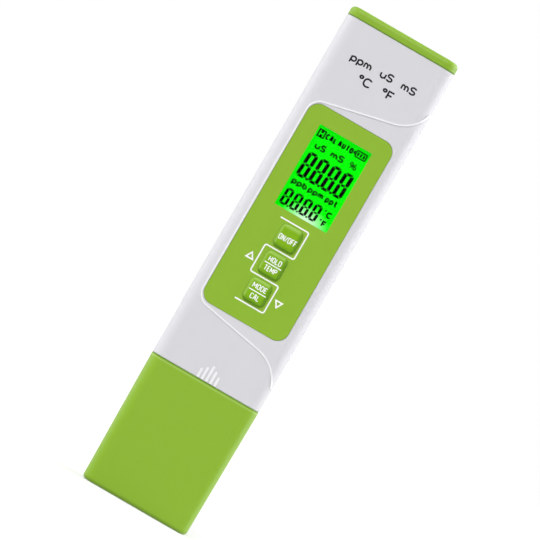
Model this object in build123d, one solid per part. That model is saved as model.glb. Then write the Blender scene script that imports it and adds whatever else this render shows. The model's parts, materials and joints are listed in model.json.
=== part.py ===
"""Pen-type water quality tester, modelled as the pieces it comes apart into.

All sizes are in millimetres. The tester stands on the flat end of its protective cap:
+Z runs up along its length, the display faces -Y, +X is to the right of the display,
and the origin is the middle of the surface that it stands on.
"""

from build123d import *
import math
import os

os.makedirs("parts", exist_ok=True)

# Outer form
corner_radius = 4.0
least_radius = 0.4
wall = 1.8
edge_break = 0.25

# Battery cells, their tray and its snap arms, which set the width and depth of the body
cell_diameter = 11.6
cell_height = 5.4
cell_count = 4
cell_cap_diameter = 9.4
cell_cap_height = 0.4
cell_clearance = 0.1
tray_wall = 1.2
tray_end_wall = 1.0
tray_front_margin = 1.4
tray_clearance = 0.3
contact_thickness = 0.3
leaf_gap = 1.4
arm_thickness = 1.2
arm_gap = 0.05
side_room = 3.15
cells_length = cell_count * cell_height
tray_inner_x = (cells_length + leaf_gap + 2 * contact_thickness) / 2
tray_outer_x = tray_inner_x + tray_end_wall
tray_depth = cell_diameter + cell_clearance + tray_wall + tray_front_margin
tray_height = cell_diameter + 2 * cell_clearance + 2 * tray_wall
overall_width = 2 * (tray_outer_x + arm_gap + arm_thickness + side_room + wall)
overall_depth = tray_depth + 2 * (tray_clearance + wall)

# Protective cap and sensing end, which set the height of the coloured cap
cap_wall = 1.6
cap_floor = 1.8
cap_clearance = 0.15
cap_draft = 0.57
cap_foot_radius = 1.4
tip_gap = 6.7
probe_length = 24.5
neck_depth = 11.5
neck_inset = cap_wall + cap_clearance
neck_floor = 2.5
cap_length = cap_floor + tip_gap + probe_length + neck_depth
neck_bottom_z = cap_length - neck_depth
neck_floor_z = neck_bottom_z + neck_floor
ledge_z = cap_length + wall
tip_z = neck_bottom_z - probe_length

# Display window, keys and the printed panel around them
panel_rise = 21.7
panel_width = 29.6
panel_corner = 3.9
panel_recess = 0.6
panel_thickness = 0.5
panel_fit = 0.1
window_width = 18.3
window_height = 28.1
window_corner = 0.3
window_drop = 5.6
window_fit = 0.1
window_lip = 0.8
window_lip_thickness = 0.6
key_width = 7.4
key_height = 7.8
key_corner = 1.6
key_rise = 0.9
key_dome = 0.7
key_drop = 7.5
key_pitch = 9.5
key_count = 3
key_fit = 0.15
key_wing = 0.9
key_wing_thickness = 0.8
panel_foot = 10.3
panel_height = window_drop + window_height + key_drop + (key_count - 1) * key_pitch + panel_foot
panel_bottom_z = cap_length + panel_rise
panel_top_z = panel_bottom_z + panel_height
panel_z = (panel_bottom_z + panel_top_z) / 2
window_z = panel_top_z - window_drop - window_height / 2
first_key_z = window_z - window_height / 2 - key_drop
key_heights = [first_key_z - place * key_pitch for place in range(key_count)]

# Layers behind the front face, from the outside inward
front_y = -overall_depth / 2
panel_back_y = front_y + panel_recess
panel_front_y = panel_back_y - panel_thickness
wall_back_y = front_y + wall
wing_back_y = wall_back_y + key_wing_thickness
plunger_rise = 0.7
switch_height = 3.2
switch_front_y = wing_back_y + plunger_rise
board_thickness = 1.0
board_front_y = switch_front_y + switch_height
board_back_y = board_front_y + board_thickness

# Display module
glass_width = 22.0
glass_thickness = 1.1
glass_margin = 0.6
glass_ledge = 2.2
frame_gap = 0.1
frame_lip = 0.6
frame_wall = 0.9
frame_fit = 0.1
strip_clearance = 0.1
strip_end_gap = 1.0
led_width = 3.5
led_height = 1.4
frame_front_y = wall_back_y + window_lip_thickness + frame_gap
glass_front_y = frame_front_y + frame_lip
glass_joint_y = glass_front_y + glass_thickness
glass_back_y = glass_joint_y + glass_thickness
glass_bottom_z = window_z - window_height / 2 - glass_margin
rear_glass_top_z = window_z + window_height / 2 + glass_margin
glass_top_z = rear_glass_top_z + glass_ledge
frame_bottom_z = glass_bottom_z - frame_fit - frame_wall
frame_top_z = glass_top_z + frame_fit + frame_wall
frame_width = glass_width + 2 * (frame_fit + frame_wall)
strip_length = glass_width - 2 * strip_end_gap

# Main board, its posts and screws
board_side_gap = 2.2
board_corner = 1.0
board_rise = 9.7
board_screw_diameter = 1.7
board_screw_length = 4.2
board_screw_head = 3.2
board_screw_head_height = 1.2
board_screw_edge = 2.4
post_diameter = 4.2
post_gap = 0.3
hole_fit = 0.05
board_width = overall_width - 2 * (wall + board_side_gap)
board_bottom_z = ledge_z + board_rise
upper_post_z = frame_top_z + post_gap + post_diameter / 2
board_top_z = upper_post_z + board_screw_edge
post_x = board_width / 2 - board_screw_edge
post_places = [
    (side * post_x, z)
    for side in (-1, 1)
    for z in (board_bottom_z + board_screw_edge, upper_post_z)
]

# Key switches
switch_width = 6.0
plunger_diameter = 3.5
plunger_depth = 0.8
plunger_fit = 0.05
key_travel = 0.3
plunger_end_gap = 0.2
leg_width = 0.7
leg_length = 1.2
leg_thickness = 0.3
leg_spacing = 4.5

# Contact carrier between the board and the battery tray
carrier_gap = 1.1
carrier_thickness = 2.2
carrier_fit = 0.1
carrier_slot_fit = 0.2
rib_thickness = 0.9
rib_depth = 1.2
rib_gap = 0.05
tray_gap = 2.85
carrier_bottom_z = board_top_z + carrier_gap
carrier_top_z = carrier_bottom_z + carrier_thickness
tray_bottom_z = carrier_top_z + tray_gap
tray_top_z = tray_bottom_z + tray_height

# Battery lid with its plug, seal and two snap arms
lid_height = 3.25
lid_edge_radius = 1.6
plug_depth = 5.0
plug_clearance = 0.15
plug_wall = 1.2
plug_roof = 1.5
seal_height = 1.6
seal_depth = 1.1
seal_bevel = 0.35
seal_clearance = 0.05
arm_width = 6.0
arm_reach = 8.0
hook_depth = 0.6
hook_height = 1.2
hook_gap = 0.1
body_top_z = tray_top_z + plug_depth
top_z = body_top_z + lid_height

# Battery contacts
contact_width = 6.0
contact_bend = 0.5
contact_rise = 9.5
contact_slot = 1.1
leaf_rise = 4.9
leaf_tail = 3.8
leaf_bend = 0.3
pad_length = 5.4
touch_gap = 0.05
spring_width = 3.0
spring_solder = 5.5
spring_bow = 1.8
spring_bow_drop = 1.3
spring_tip_drop = 0.9
cells_right_x = tray_inner_x - contact_thickness
cells_left_x = cells_right_x - cells_length
tray_back_y = tray_depth / 2 - tray_wall
cell_y = tray_back_y - cell_clearance - cell_diameter / 2
cell_z = (tray_bottom_z + tray_top_z) / 2
pad_z = tray_bottom_z - contact_thickness / 2
spring_x = tray_inner_x - pad_length / 2

# Joint between the two half shells
tongue_thickness = 0.8
tongue_height = 1.6
lap_clearance = 0.05
bead_radius = 0.25
bead_groove_radius = 0.35
bead_length = 6.0
bead_end_gap = 0.2
bead_count = 3

# Screws that close the neck, hidden by the cap
neck_screw_diameter = 2.2
neck_screw_length = 10.0
neck_screw_head = 3.8
neck_screw_head_height = 1.3
neck_screw_sink = 0.1
neck_boss_diameter = 4.8
neck_boss_gap = 0.15
neck_boss_lift = 0.8
head_fit = 0.1

# Sensing end
chamber_depth = 15.5
septum = 3.0
potting_depth = 4.0
spigot_wall = 1.5
spigot_gap = 0.8
spigot_height = 9.0
spigot_fit = 0.15
flange_overhang = 1.4
flange_thickness = 1.7
flange_gap = 0.05
flange_room = 0.1
probe_edge_radius = 0.8
slot_width = 4.5
slot_height = 9.0
slot_spacing = 7.5
slot_count = 3
slot_rise = 3.0
electrode_inset = 1.8
electrode_diameter = 2.4
electrode_reach = 12.0
shank_diameter = 2.0
sheath_diameter = 3.4
sheath_bore = 2.6
sheath_reach = 13.0
sheath_end_wall = 0.8
tail_rise = 1.0
bore_fit = 0.02
thermistor_diameter = 1.6
thermistor_length = 2.4
chamber_roof_z = tip_z + chamber_depth
pocket_floor_z = chamber_roof_z + septum
potting_top_z = pocket_floor_z + potting_depth
tail_top_z = potting_top_z + tail_rise
spigot_top_z = neck_bottom_z + spigot_height
flange_bottom_z = neck_floor_z + flange_gap
flange_top_z = flange_bottom_z + flange_thickness
cap_seal_z = (chamber_roof_z + neck_bottom_z) / 2
neck_inner_x = overall_width / 2 - neck_inset - wall
neck_inner_y = overall_depth / 2 - neck_inset - wall
neck_screw_x = neck_inner_x - neck_boss_diameter / 2 - neck_boss_gap
neck_screw_z = flange_top_z + neck_boss_lift + neck_boss_diameter / 2
spigot_width = 2 * (neck_screw_x - spigot_gap) - neck_boss_diameter
spigot_depth = 2 * (neck_inner_y - flange_room - flange_overhang)
pocket_width = spigot_width - 2 * spigot_wall
pocket_depth = spigot_depth - 2 * spigot_wall
electrode_x = pocket_width / 2 - electrode_inset

# Wiring between the sensing end and the board
lead_diameter = 0.9
lead_pitch = 2.0
lead_bend = 8.0
lead_turn_length = 8.0
thermistor_lead_x = 0.55
thermistor_lead_bend = 30.0
header_lift = 4.0
header_width = 12.0
header_depth = 4.6
header_height = 6.0
header_wall = 0.8
plug_fit = 0.05
plug_tail = 3.0
pin_size = 0.5
pin_length = 3.0
pin_fit = 0.05
header_bottom_z = board_bottom_z + header_lift
header_top_z = header_bottom_z + header_height
header_y = board_back_y + header_depth / 2
plug_bottom_z = header_bottom_z - plug_tail

# Chips and small components on the back of the board
processor_size = 9.0
processor_height = 1.4
processor_z = window_z - 4.0
processor_leads = 11
amplifier_width = 8.6
amplifier_size = 3.9
amplifier_height = 1.5
amplifier_z = header_top_z + 10.0
amplifier_leads = 7
lead_foot = 1.0
lead_foot_thickness = 0.2
crystal_length = 11.2
crystal_width = 4.7
crystal_height = 3.5
crystal_z = processor_z - 13.0
chip_length = 2.0
chip_width = 1.25
chip_height = 0.6
chip_spacing = 3.6
chip_columns = 6
chip_row_gap = 3.2

# Raised decoration on the front shell
relief_height = 0.25
wave_width = 0.5
wave_margin = 0.45
wave_upper_end = (0.3, 13.5)
wave_upper_turn = (2.6, 7.2)
wave_left_drop = 0.3
wave_lower_turn = (3.2, 6.2)
wave_lower_end = (0.5, 13.4)
wave_bends = [11.0, 4.5, 4.5, 12.0]
bar_width = 0.8
bar_spacing = 1.5
bar_height = 5.4
bar_step = 1.15
bar_count = 5

# Stiffening ribs inside the rear shell
stiffener_thickness = 1.0
stiffener_depth = 1.5
stiffener_count = 4

half_width = overall_width / 2
half_depth = overall_depth / 2
cavity_half_width = half_width - wall
cavity_half_depth = half_depth - wall
beyond = 2.0


def block(x, y, z):
    """Box between the limits given for each axis as (low, high)."""
    spans = (x, y, z)
    middle = [(low + high) / 2 for low, high in spans]
    size = [high - low for low, high in spans]
    return Pos(*middle) * Box(*size)


def prism(inset, z_low, z_high):
    """The body's outer section moved inward by inset, between two heights."""
    radius = max(corner_radius - inset, least_radius)
    outline = RectangleRounded(overall_width - 2 * inset, overall_depth - 2 * inset, radius)
    return extrude(Plane.XY.offset(z_low) * outline, z_high - z_low)


def ring(outer_inset, inner_inset, z_low, z_high):
    """Band that follows the body's section, between two insets and two heights."""
    return prism(outer_inset, z_low, z_high) - prism(inner_inset, z_low, z_high)


def slab(outline, y_near, y_far):
    """An outline drawn in X and Z, extruded between two depths."""
    return extrude(Plane.XZ.offset(-y_far) * outline, y_far - y_near)


def facing(width, height, radius, z):
    """Rounded rectangle that faces the user, centred on the body at height z."""
    return Pos(0, z) * RectangleRounded(width, height, radius)


def disc(diameter, x, z):
    """Circle that faces the user."""
    return Pos(x, z) * Circle(diameter / 2)


def upright(diameter, x, y, z_low, z_high):
    """Vertical round bar."""
    return Pos(x, y, (z_low + z_high) / 2) * Cylinder(diameter / 2, z_high - z_low)


def ends_in_z(solid):
    """The edges round the lowest and round the highest face of a solid."""
    faces = solid.faces().sort_by(Axis.Z)
    return faces[0].edges(), faces[-1].edges()


def hollow_body():
    """Both half shells as one, before the parting cut."""
    body = prism(0, cap_length, body_top_z)
    low_edges, high_edges = ends_in_z(body)
    body = chamfer(low_edges + high_edges, edge_break)
    body += prism(neck_inset, neck_bottom_z, ledge_z)
    body -= prism(wall, ledge_z, body_top_z)
    body -= prism(neck_inset + wall, neck_floor_z, ledge_z)
    spigot_way = Rectangle(spigot_width + 2 * spigot_fit, spigot_depth + 2 * spigot_fit)
    body -= extrude(Plane.XY.offset(neck_bottom_z) * spigot_way, neck_floor)
    for rib_z in (carrier_bottom_z - rib_gap - rib_thickness, carrier_top_z + rib_gap):
        body += ring(wall, wall + rib_depth, rib_z, rib_z + rib_thickness)
    return body


def side_lap(extra, clearance):
    """The step between the half shells along both side walls."""
    band = ring(wall - tongue_thickness - clearance, wall + extra, ledge_z, body_top_z)
    reach = block(
        (-half_width, half_width),
        (-tongue_height - clearance, 0),
        (ledge_z, body_top_z),
    )
    return band & reach


def snap_beads(radius, extra_length):
    """Round beads along the lap, or the grooves that take them."""
    span = (carrier_bottom_z - ledge_z) / bead_count
    lap_x = half_width - wall + tongue_thickness
    beads = []
    for place in range(bead_count):
        z = ledge_z + (place + 0.5) * span
        half_length = bead_length / 2 + extra_length
        for side in (-1, 1):
            x = side * lap_x
            y = -tongue_height / 2
            beads.append(upright(2 * radius, x, y, z - half_length, z + half_length))
    return beads


def wave_line():
    """Raised line that sweeps round the left of the panel and off the right edge.

    Its ends and turns are given by how far they lie in from the right edge and
    above the top of the panel, or below its foot.
    """
    left_x = -panel_width / 2 - wave_margin
    path = FilletPolyline(
        (half_width - wave_upper_end[0], panel_top_z + wave_upper_end[1]),
        (half_width - wave_upper_turn[0], panel_top_z + wave_upper_turn[1]),
        (left_x, panel_top_z),
        (left_x, panel_bottom_z - wave_left_drop),
        (half_width - wave_lower_turn[0], panel_bottom_z - wave_lower_turn[1]),
        (half_width - wave_lower_end[0], panel_bottom_z - wave_lower_end[1]),
        radius=wave_bends,
    )
    through = slab(trace(path, line_width=wave_width), front_y - beyond, 0)
    return through & ring(-relief_height, 0, cap_length, body_top_z)


def level_bars():
    """Row of short raised bars that stand on the seam above the cap."""
    bars = []
    base_z = cap_length + edge_break
    for place in range(bar_count):
        from_middle = place - (bar_count - 1) / 2
        height = bar_height - bar_step * abs(from_middle)
        shaft = Pos(from_middle * bar_spacing, base_z + (height - bar_width / 2) / 2)
        outline = shaft * Rectangle(bar_width, height - bar_width / 2)
        outline += disc(bar_width, from_middle * bar_spacing, base_z + height - bar_width / 2)
        bars.append(slab(outline, front_y - relief_height, front_y + panel_recess))
    return bars


def make_front_shell():
    """Front half: panel recess, window and key openings, board posts, decoration."""
    shell = hollow_body() & block(
        (-half_width, half_width), (-half_depth, 0), (neck_bottom_z, body_top_z)
    )
    recess = facing(
        panel_width + 2 * panel_fit, panel_height + 2 * panel_fit, panel_corner, panel_z
    )
    shell -= slab(recess, front_y - beyond, panel_back_y)
    window = facing(
        window_width + 2 * window_fit, window_height + 2 * window_fit, window_corner, window_z
    )
    shell -= slab(window, front_y, wall_back_y + rib_gap)
    for z in key_heights:
        shell -= slab(key_opening(z), front_y, wall_back_y + rib_gap)
    shell -= side_lap(beyond, lap_clearance)
    shell -= snap_beads(bead_groove_radius, bead_end_gap)
    pilot_depth = board_front_y - board_screw_length
    for x, z in post_places:
        shell += slab(disc(post_diameter, x, z), wall_back_y, board_front_y)
        pilot = disc(board_screw_diameter + 2 * hole_fit, x, z)
        shell -= slab(pilot, pilot_depth, board_front_y)
    screw_end_y = half_depth - neck_inset - neck_screw_sink - neck_screw_head_height
    screw_end_y -= neck_screw_length
    for side in (-1, 1):
        boss = disc(neck_boss_diameter, side * neck_screw_x, neck_screw_z)
        pilot = disc(neck_screw_diameter + 2 * hole_fit, side * neck_screw_x, neck_screw_z)
        shell += slab(boss, -neck_inner_y, 0)
        shell -= slab(pilot, screw_end_y - head_fit, 0)
    return shell + wave_line() + level_bars()


def key_opening(z):
    """Opening in the shell and the panel for one key."""
    return facing(key_width + 2 * key_fit, key_height + 2 * key_fit, key_corner + key_fit, z)


def make_rear_shell():
    """Rear half: lap tongue with beads, sunk neck bosses and stiffening ribs."""
    shell = hollow_body() & block(
        (-half_width, half_width), (0, half_depth), (neck_bottom_z, body_top_z)
    )
    shell += side_lap(0, 0)
    shell += snap_beads(bead_radius, 0)
    neck_back_y = half_depth - neck_inset
    sink_y = neck_back_y - neck_screw_sink - neck_screw_head_height
    for side in (-1, 1):
        x = side * neck_screw_x
        shell += slab(disc(neck_boss_diameter, x, neck_screw_z), 0, neck_inner_y)
        shank_hole = disc(neck_screw_diameter + 2 * hole_fit, x, neck_screw_z)
        head_hole = disc(neck_screw_head + 2 * head_fit, x, neck_screw_z)
        shell -= slab(shank_hole, 0, neck_back_y)
        shell -= slab(head_hole, sink_y, neck_back_y)
    span = (carrier_bottom_z - ledge_z) / stiffener_count
    for place in range(stiffener_count):
        z = ledge_z + (place + 0.5) * span
        rib = block(
            (-cavity_half_width, cavity_half_width),
            (cavity_half_depth - stiffener_depth, cavity_half_depth),
            (z - stiffener_thickness / 2, z + stiffener_thickness / 2),
        )
        shell += rib & prism(wall - lap_clearance, ledge_z, body_top_z)
    return shell


def make_keypad_overlay():
    """Thin printed panel with openings for the window and the keys."""
    outline = facing(panel_width, panel_height, panel_corner, panel_z)
    outline -= facing(
        window_width + 2 * window_fit, window_height + 2 * window_fit, window_corner, window_z
    )
    for z in key_heights:
        outline -= key_opening(z)
    return slab(outline, panel_front_y, panel_back_y)


def make_display_window():
    """Clear window, flush with the panel, held by a lip behind the shell."""
    pane = facing(window_width, window_height, window_corner, window_z)
    lip = facing(
        window_width + 2 * window_lip, window_height + 2 * window_lip, window_lip, window_z
    )
    window = slab(pane, panel_front_y, wall_back_y)
    return window + slab(lip, wall_back_y, wall_back_y + window_lip_thickness)


def make_key(z):
    """One key: domed cap, straight stem and two wings behind the shell."""
    cap_y = panel_front_y - key_rise
    stem = slab(facing(key_width, key_height, key_corner, z), cap_y, wing_back_y)
    stem = fillet(stem.faces().sort_by(Axis.Y)[0].edges(), key_dome)
    wings = Pos(0, z) * Rectangle(key_width + 2 * key_wing, key_height - 2 * key_corner)
    return stem + slab(wings, wall_back_y, wing_back_y)


def make_switch_body(z):
    """Square switch with a round bore and four solder legs."""
    half_size = switch_width / 2
    body = block(
        (-half_size, half_size), (switch_front_y, board_front_y), (z - half_size, z + half_size)
    )
    body = chamfer(body.faces().sort_by(Axis.Y)[0].edges(), leg_thickness)
    bore_depth = plunger_depth + key_travel + plunger_end_gap
    bore = disc(plunger_diameter + 2 * plunger_fit, 0, z)
    body -= slab(bore, switch_front_y, switch_front_y + bore_depth)
    for side in (-1, 1):
        foot_x = sorted((side * half_size, side * (half_size + leg_length)))
        for end in (-1, 1):
            foot_z = z + end * leg_spacing / 2
            body += block(
                foot_x,
                (board_front_y - leg_thickness, board_front_y),
                (foot_z - leg_width / 2, foot_z + leg_width / 2),
            )
    return body


def make_switch_plunger(z):
    """Round plunger between the switch and the key."""
    return slab(disc(plunger_diameter, 0, z), wing_back_y, switch_front_y + plunger_depth)


def module_outline(width, z_low, z_high):
    """Rectangle of the display module, centred on the body."""
    return Pos(0, (z_low + z_high) / 2) * Rectangle(width, z_high - z_low)


def make_lcd_frame():
    """Frame round the glass, with a lip in front and open towards the board."""
    frame = slab(
        module_outline(frame_width, frame_bottom_z, frame_top_z), frame_front_y, board_front_y
    )
    inside = module_outline(
        glass_width + 2 * frame_fit, glass_bottom_z - frame_fit, glass_top_z + frame_fit
    )
    frame -= slab(inside, glass_front_y, board_front_y)
    sight = facing(
        window_width + window_lip, window_height + window_lip, window_corner, window_z
    )
    return frame - slab(sight, frame_front_y, glass_front_y)


def make_lcd_front_glass():
    """Front glass, which reaches above the rear glass to its contact ledge."""
    outline = module_outline(glass_width, glass_bottom_z, glass_top_z)
    return slab(outline, glass_front_y, glass_joint_y)


def make_lcd_rear_glass():
    """Rear glass of the display."""
    outline = module_outline(glass_width, glass_bottom_z, rear_glass_top_z)
    return slab(outline, glass_joint_y, glass_back_y)


def make_backlight_plate():
    """Light guide between the glass and the board, cut short for its lamp."""
    low = glass_bottom_z + led_height + strip_clearance
    outline = module_outline(glass_width, low, rear_glass_top_z)
    return slab(outline, glass_back_y, board_front_y)


def make_backlight_led():
    """Lamp that lights the guide from its lower edge."""
    outline = module_outline(led_width, glass_bottom_z, glass_bottom_z + led_height)
    return slab(outline, glass_back_y, board_front_y)


def make_lcd_connector_strip():
    """Elastomer strip from the ledge of the front glass to the board."""
    outline = module_outline(
        strip_length, rear_glass_top_z + strip_clearance, glass_top_z - strip_clearance
    )
    return slab(outline, glass_joint_y, board_front_y)


def make_main_board():
    """Circuit board with its four screw holes."""
    outline = facing(
        board_width,
        board_top_z - board_bottom_z,
        board_corner,
        (board_bottom_z + board_top_z) / 2,
    )
    for x, z in post_places:
        outline -= disc(board_screw_diameter + 2 * hole_fit, x, z)
    return slab(outline, board_front_y, board_back_y)


def cross_recess(size, x, z, y_near, y_far):
    """Cross-shaped driver recess."""
    bar = size / 4
    outline = Pos(x, z) * (Rectangle(size, bar) + Rectangle(bar, size))
    return slab(outline, y_near, y_far)


def screw(x, z, diameter, length, head, head_height, seat_y):
    """Pan-head screw that points towards -Y, with its head seated at seat_y."""
    top_y = seat_y + head_height
    body = slab(disc(head, x, z), seat_y, top_y)
    body = chamfer(body.faces().sort_by(Axis.Y)[-1].edges(), head_height / 3)
    body += slab(disc(diameter, x, z), seat_y - length, seat_y)
    return body - cross_recess(head * 0.6, x, z, top_y - head_height / 2, top_y)


def make_board_screws():
    """Four screws that hold the board to the posts."""
    return Part() + [
        screw(
            x,
            z,
            board_screw_diameter,
            board_screw_length,
            board_screw_head,
            board_screw_head_height,
            board_back_y,
        )
        for x, z in post_places
    ]


def make_neck_screws():
    """Two longer screws that close the neck from behind."""
    seat_y = half_depth - neck_inset - neck_screw_sink - neck_screw_head_height
    return Part() + [
        screw(
            side * neck_screw_x,
            neck_screw_z,
            neck_screw_diameter,
            neck_screw_length,
            neck_screw_head,
            neck_screw_head_height,
            seat_y,
        )
        for side in (-1, 1)
    ]


def make_processor_chip():
    """Flat square package with leads on all four sides."""
    half_size = processor_size / 2
    top_y = board_back_y + processor_height
    chip = block(
        (-half_size, half_size),
        (board_back_y, top_y),
        (processor_z - half_size, processor_z + half_size),
    )
    pitch = processor_size / (processor_leads + 1)
    reach = half_size + lead_foot
    foot_y = (board_back_y, board_back_y + lead_foot_thickness)
    for place in range(processor_leads):
        along = (place + 1) * pitch - half_size
        low = along - pitch / 4
        high = along + pitch / 4
        chip += block((low, high), foot_y, (processor_z - reach, processor_z + reach))
        chip += block((-reach, reach), foot_y, (processor_z + low, processor_z + high))
    return chip


def make_amplifier_chip():
    """Small package with leads along its two long sides."""
    half_size = amplifier_size / 2
    chip = block(
        (-amplifier_width / 2, amplifier_width / 2),
        (board_back_y, board_back_y + amplifier_height),
        (amplifier_z - half_size, amplifier_z + half_size),
    )
    pitch = amplifier_width / amplifier_leads
    reach = half_size + lead_foot
    foot_y = (board_back_y, board_back_y + lead_foot_thickness)
    for place in range(amplifier_leads):
        along = (place + 0.5) * pitch - amplifier_width / 2
        foot_x = (along - pitch / 6, along + pitch / 6)
        chip += block(foot_x, foot_y, (amplifier_z - reach, amplifier_z + reach))
    return chip


def make_crystal():
    """Metal-cased crystal with round ends."""
    outline = Pos(0, crystal_z) * SlotOverall(crystal_length, crystal_width)
    return slab(outline, board_back_y, board_back_y + crystal_height)


def make_board_components():
    """Rows of small chip resistors and capacitors."""
    rows = (
        amplifier_z + amplifier_size / 2 + lead_foot + chip_row_gap,
        crystal_z - crystal_width / 2 - chip_row_gap,
        processor_z + processor_size / 2 + lead_foot + chip_row_gap,
    )
    chips = []
    for z in rows:
        for column in range(chip_columns):
            x = (column - (chip_columns - 1) / 2) * chip_spacing
            chips.append(
                block(
                    (x - chip_width / 2, x + chip_width / 2),
                    (board_back_y, board_back_y + chip_height),
                    (z - chip_length / 2, z + chip_length / 2),
                )
            )
    return Part() + chips


def lead_ends():
    """X positions of the four wires in the plug."""
    return [(place - 1.5) * lead_pitch for place in range(4)]


def make_sensor_header():
    """Socket on the board, open downwards, with four pins."""
    half_size = header_width / 2
    header = block(
        (-half_size, half_size),
        (board_back_y, board_back_y + header_depth),
        (header_bottom_z, header_top_z),
    )
    header -= block(
        (header_wall - half_size, half_size - header_wall),
        (board_back_y + header_wall, board_back_y + header_depth - header_wall),
        (header_bottom_z, header_top_z - header_wall),
    )
    pin_half = pin_size / 2
    pin_top_z = header_top_z - header_wall
    for x in lead_ends():
        header += block(
            (x - pin_half, x + pin_half),
            (header_y - pin_half, header_y + pin_half),
            (pin_top_z - pin_length, pin_top_z),
        )
    return header


def make_sensor_plug():
    """Plug with four pin holes, pushed up into the header."""
    inset = header_wall + plug_fit
    plug_top_z = header_top_z - inset
    plug = block(
        (inset - header_width / 2, header_width / 2 - inset),
        (board_back_y + inset, board_back_y + header_depth - inset),
        (plug_bottom_z, plug_top_z),
    )
    hole_half = pin_size / 2 + pin_fit
    for x in lead_ends():
        plug -= block(
            (x - hole_half, x + hole_half),
            (header_y - hole_half, header_y + hole_half),
            (plug_top_z - pin_length - pin_fit, plug_top_z),
        )
    return plug


def make_contact_carrier():
    """Plate held between the ribs of the shells, slotted for the two springs."""
    carrier = prism(wall + carrier_fit, carrier_bottom_z, carrier_top_z)
    half_slot = spring_width / 2 + carrier_slot_fit
    for side in (-1, 1):
        middle = side * spring_x
        carrier -= block(
            (middle - half_slot, middle + half_slot),
            (board_back_y - carrier_slot_fit, board_back_y + contact_thickness + carrier_slot_fit),
            (carrier_bottom_z, carrier_top_z),
        )
    return carrier


def ribbon(plane, points, bend, width, offset):
    """Strip of sheet metal bent along points in a plane, centred at an offset from it."""
    strip = trace(FilletPolyline(*points, radius=bend), line_width=contact_thickness)
    return extrude(plane.offset(offset) * strip, width / 2, both=True)


def make_contact_spring(side):
    """Spring strip from the back of the board up to a pad of the battery tray."""
    along_y = board_back_y + contact_thickness / 2
    bow_z = tray_bottom_z - contact_thickness - touch_gap - contact_thickness / 2
    points = (
        (along_y, board_top_z - spring_solder),
        (along_y, bow_z - spring_bow_drop),
        (along_y + spring_bow, bow_z),
        (along_y + 2 * spring_bow, bow_z - spring_tip_drop),
    )
    return ribbon(Plane.YZ, points, contact_bend, spring_width, side * spring_x)


def make_positive_contact():
    """Flat contact at the right end of the tray, folded under its floor."""
    x = tray_inner_x - contact_thickness / 2
    points = (
        (x, tray_bottom_z + tray_wall + contact_rise),
        (x, pad_z),
        (tray_inner_x - pad_length, pad_z),
    )
    return ribbon(Plane.XZ, points, contact_bend, contact_width, -cell_y)


def make_negative_contact():
    """Leaf contact at the left end of the tray, folded under its floor."""
    x = -tray_inner_x + contact_thickness / 2
    touch_x = cells_left_x - contact_thickness / 2
    points = (
        (pad_length - tray_inner_x, pad_z),
        (x, pad_z),
        (x, cell_z + leaf_rise),
        ((x + touch_x) / 2, cell_z + leaf_rise),
        (touch_x, cell_z),
        (x + contact_thickness, cell_z - leaf_tail),
    )
    bends = [contact_bend, leaf_bend, leaf_bend, contact_bend]
    return ribbon(Plane.XZ, points, bends, contact_width, -cell_y)


def make_battery_tray():
    """Tray for the cells, open to the front, with windows for the lid's hooks."""
    half_tray = tray_depth / 2
    tray = block(
        (-tray_outer_x, tray_outer_x), (-half_tray, half_tray), (tray_bottom_z, tray_top_z)
    )
    tray -= block(
        (-tray_inner_x, tray_inner_x),
        (-half_tray, tray_back_y),
        (tray_bottom_z + tray_wall, tray_top_z - tray_wall),
    )
    half_contact = contact_width / 2 + cell_clearance
    half_arm = arm_width / 2 + hook_gap
    hook_z = hook_bottom_z()
    for side in (-1, 1):
        slot_x = sorted((side * tray_inner_x, side * (tray_inner_x - contact_slot)))
        tray -= block(
            slot_x,
            (cell_y - half_contact, cell_y + half_contact),
            (tray_bottom_z, tray_bottom_z + tray_wall),
        )
        hook_x = sorted((side * tray_inner_x, side * tray_outer_x))
        tray -= block(
            hook_x, (-half_arm, half_arm), (hook_z - hook_gap, hook_z + hook_height + hook_gap)
        )
    return tray


def hook_bottom_z():
    """Height of the underside of the lid's hooks."""
    return tray_top_z - arm_reach


def make_cell(place):
    """One button cell, its flat positive face to the right."""
    right_x = cells_right_x - place * cell_height
    can_height = cell_height - cell_cap_height
    across = Plane((right_x, cell_y, cell_z), x_dir=(0, 1, 0), z_dir=(-1, 0, 0))
    can = extrude(across * Circle(cell_diameter / 2), can_height)
    can = chamfer(can.edges().filter_by(GeomType.CIRCLE), edge_break)
    return can + extrude(across.offset(can_height) * Circle(cell_cap_diameter / 2), cell_cap_height)


def soft_ring(outer_inset, inner_inset, z_low, z_high):
    """Seal ring with bevelled edges that follows the body's section."""
    band = ring(outer_inset, inner_inset, z_low, z_high)
    low_edges, high_edges = ends_in_z(band)
    return chamfer(low_edges + high_edges, seal_bevel)


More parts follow.
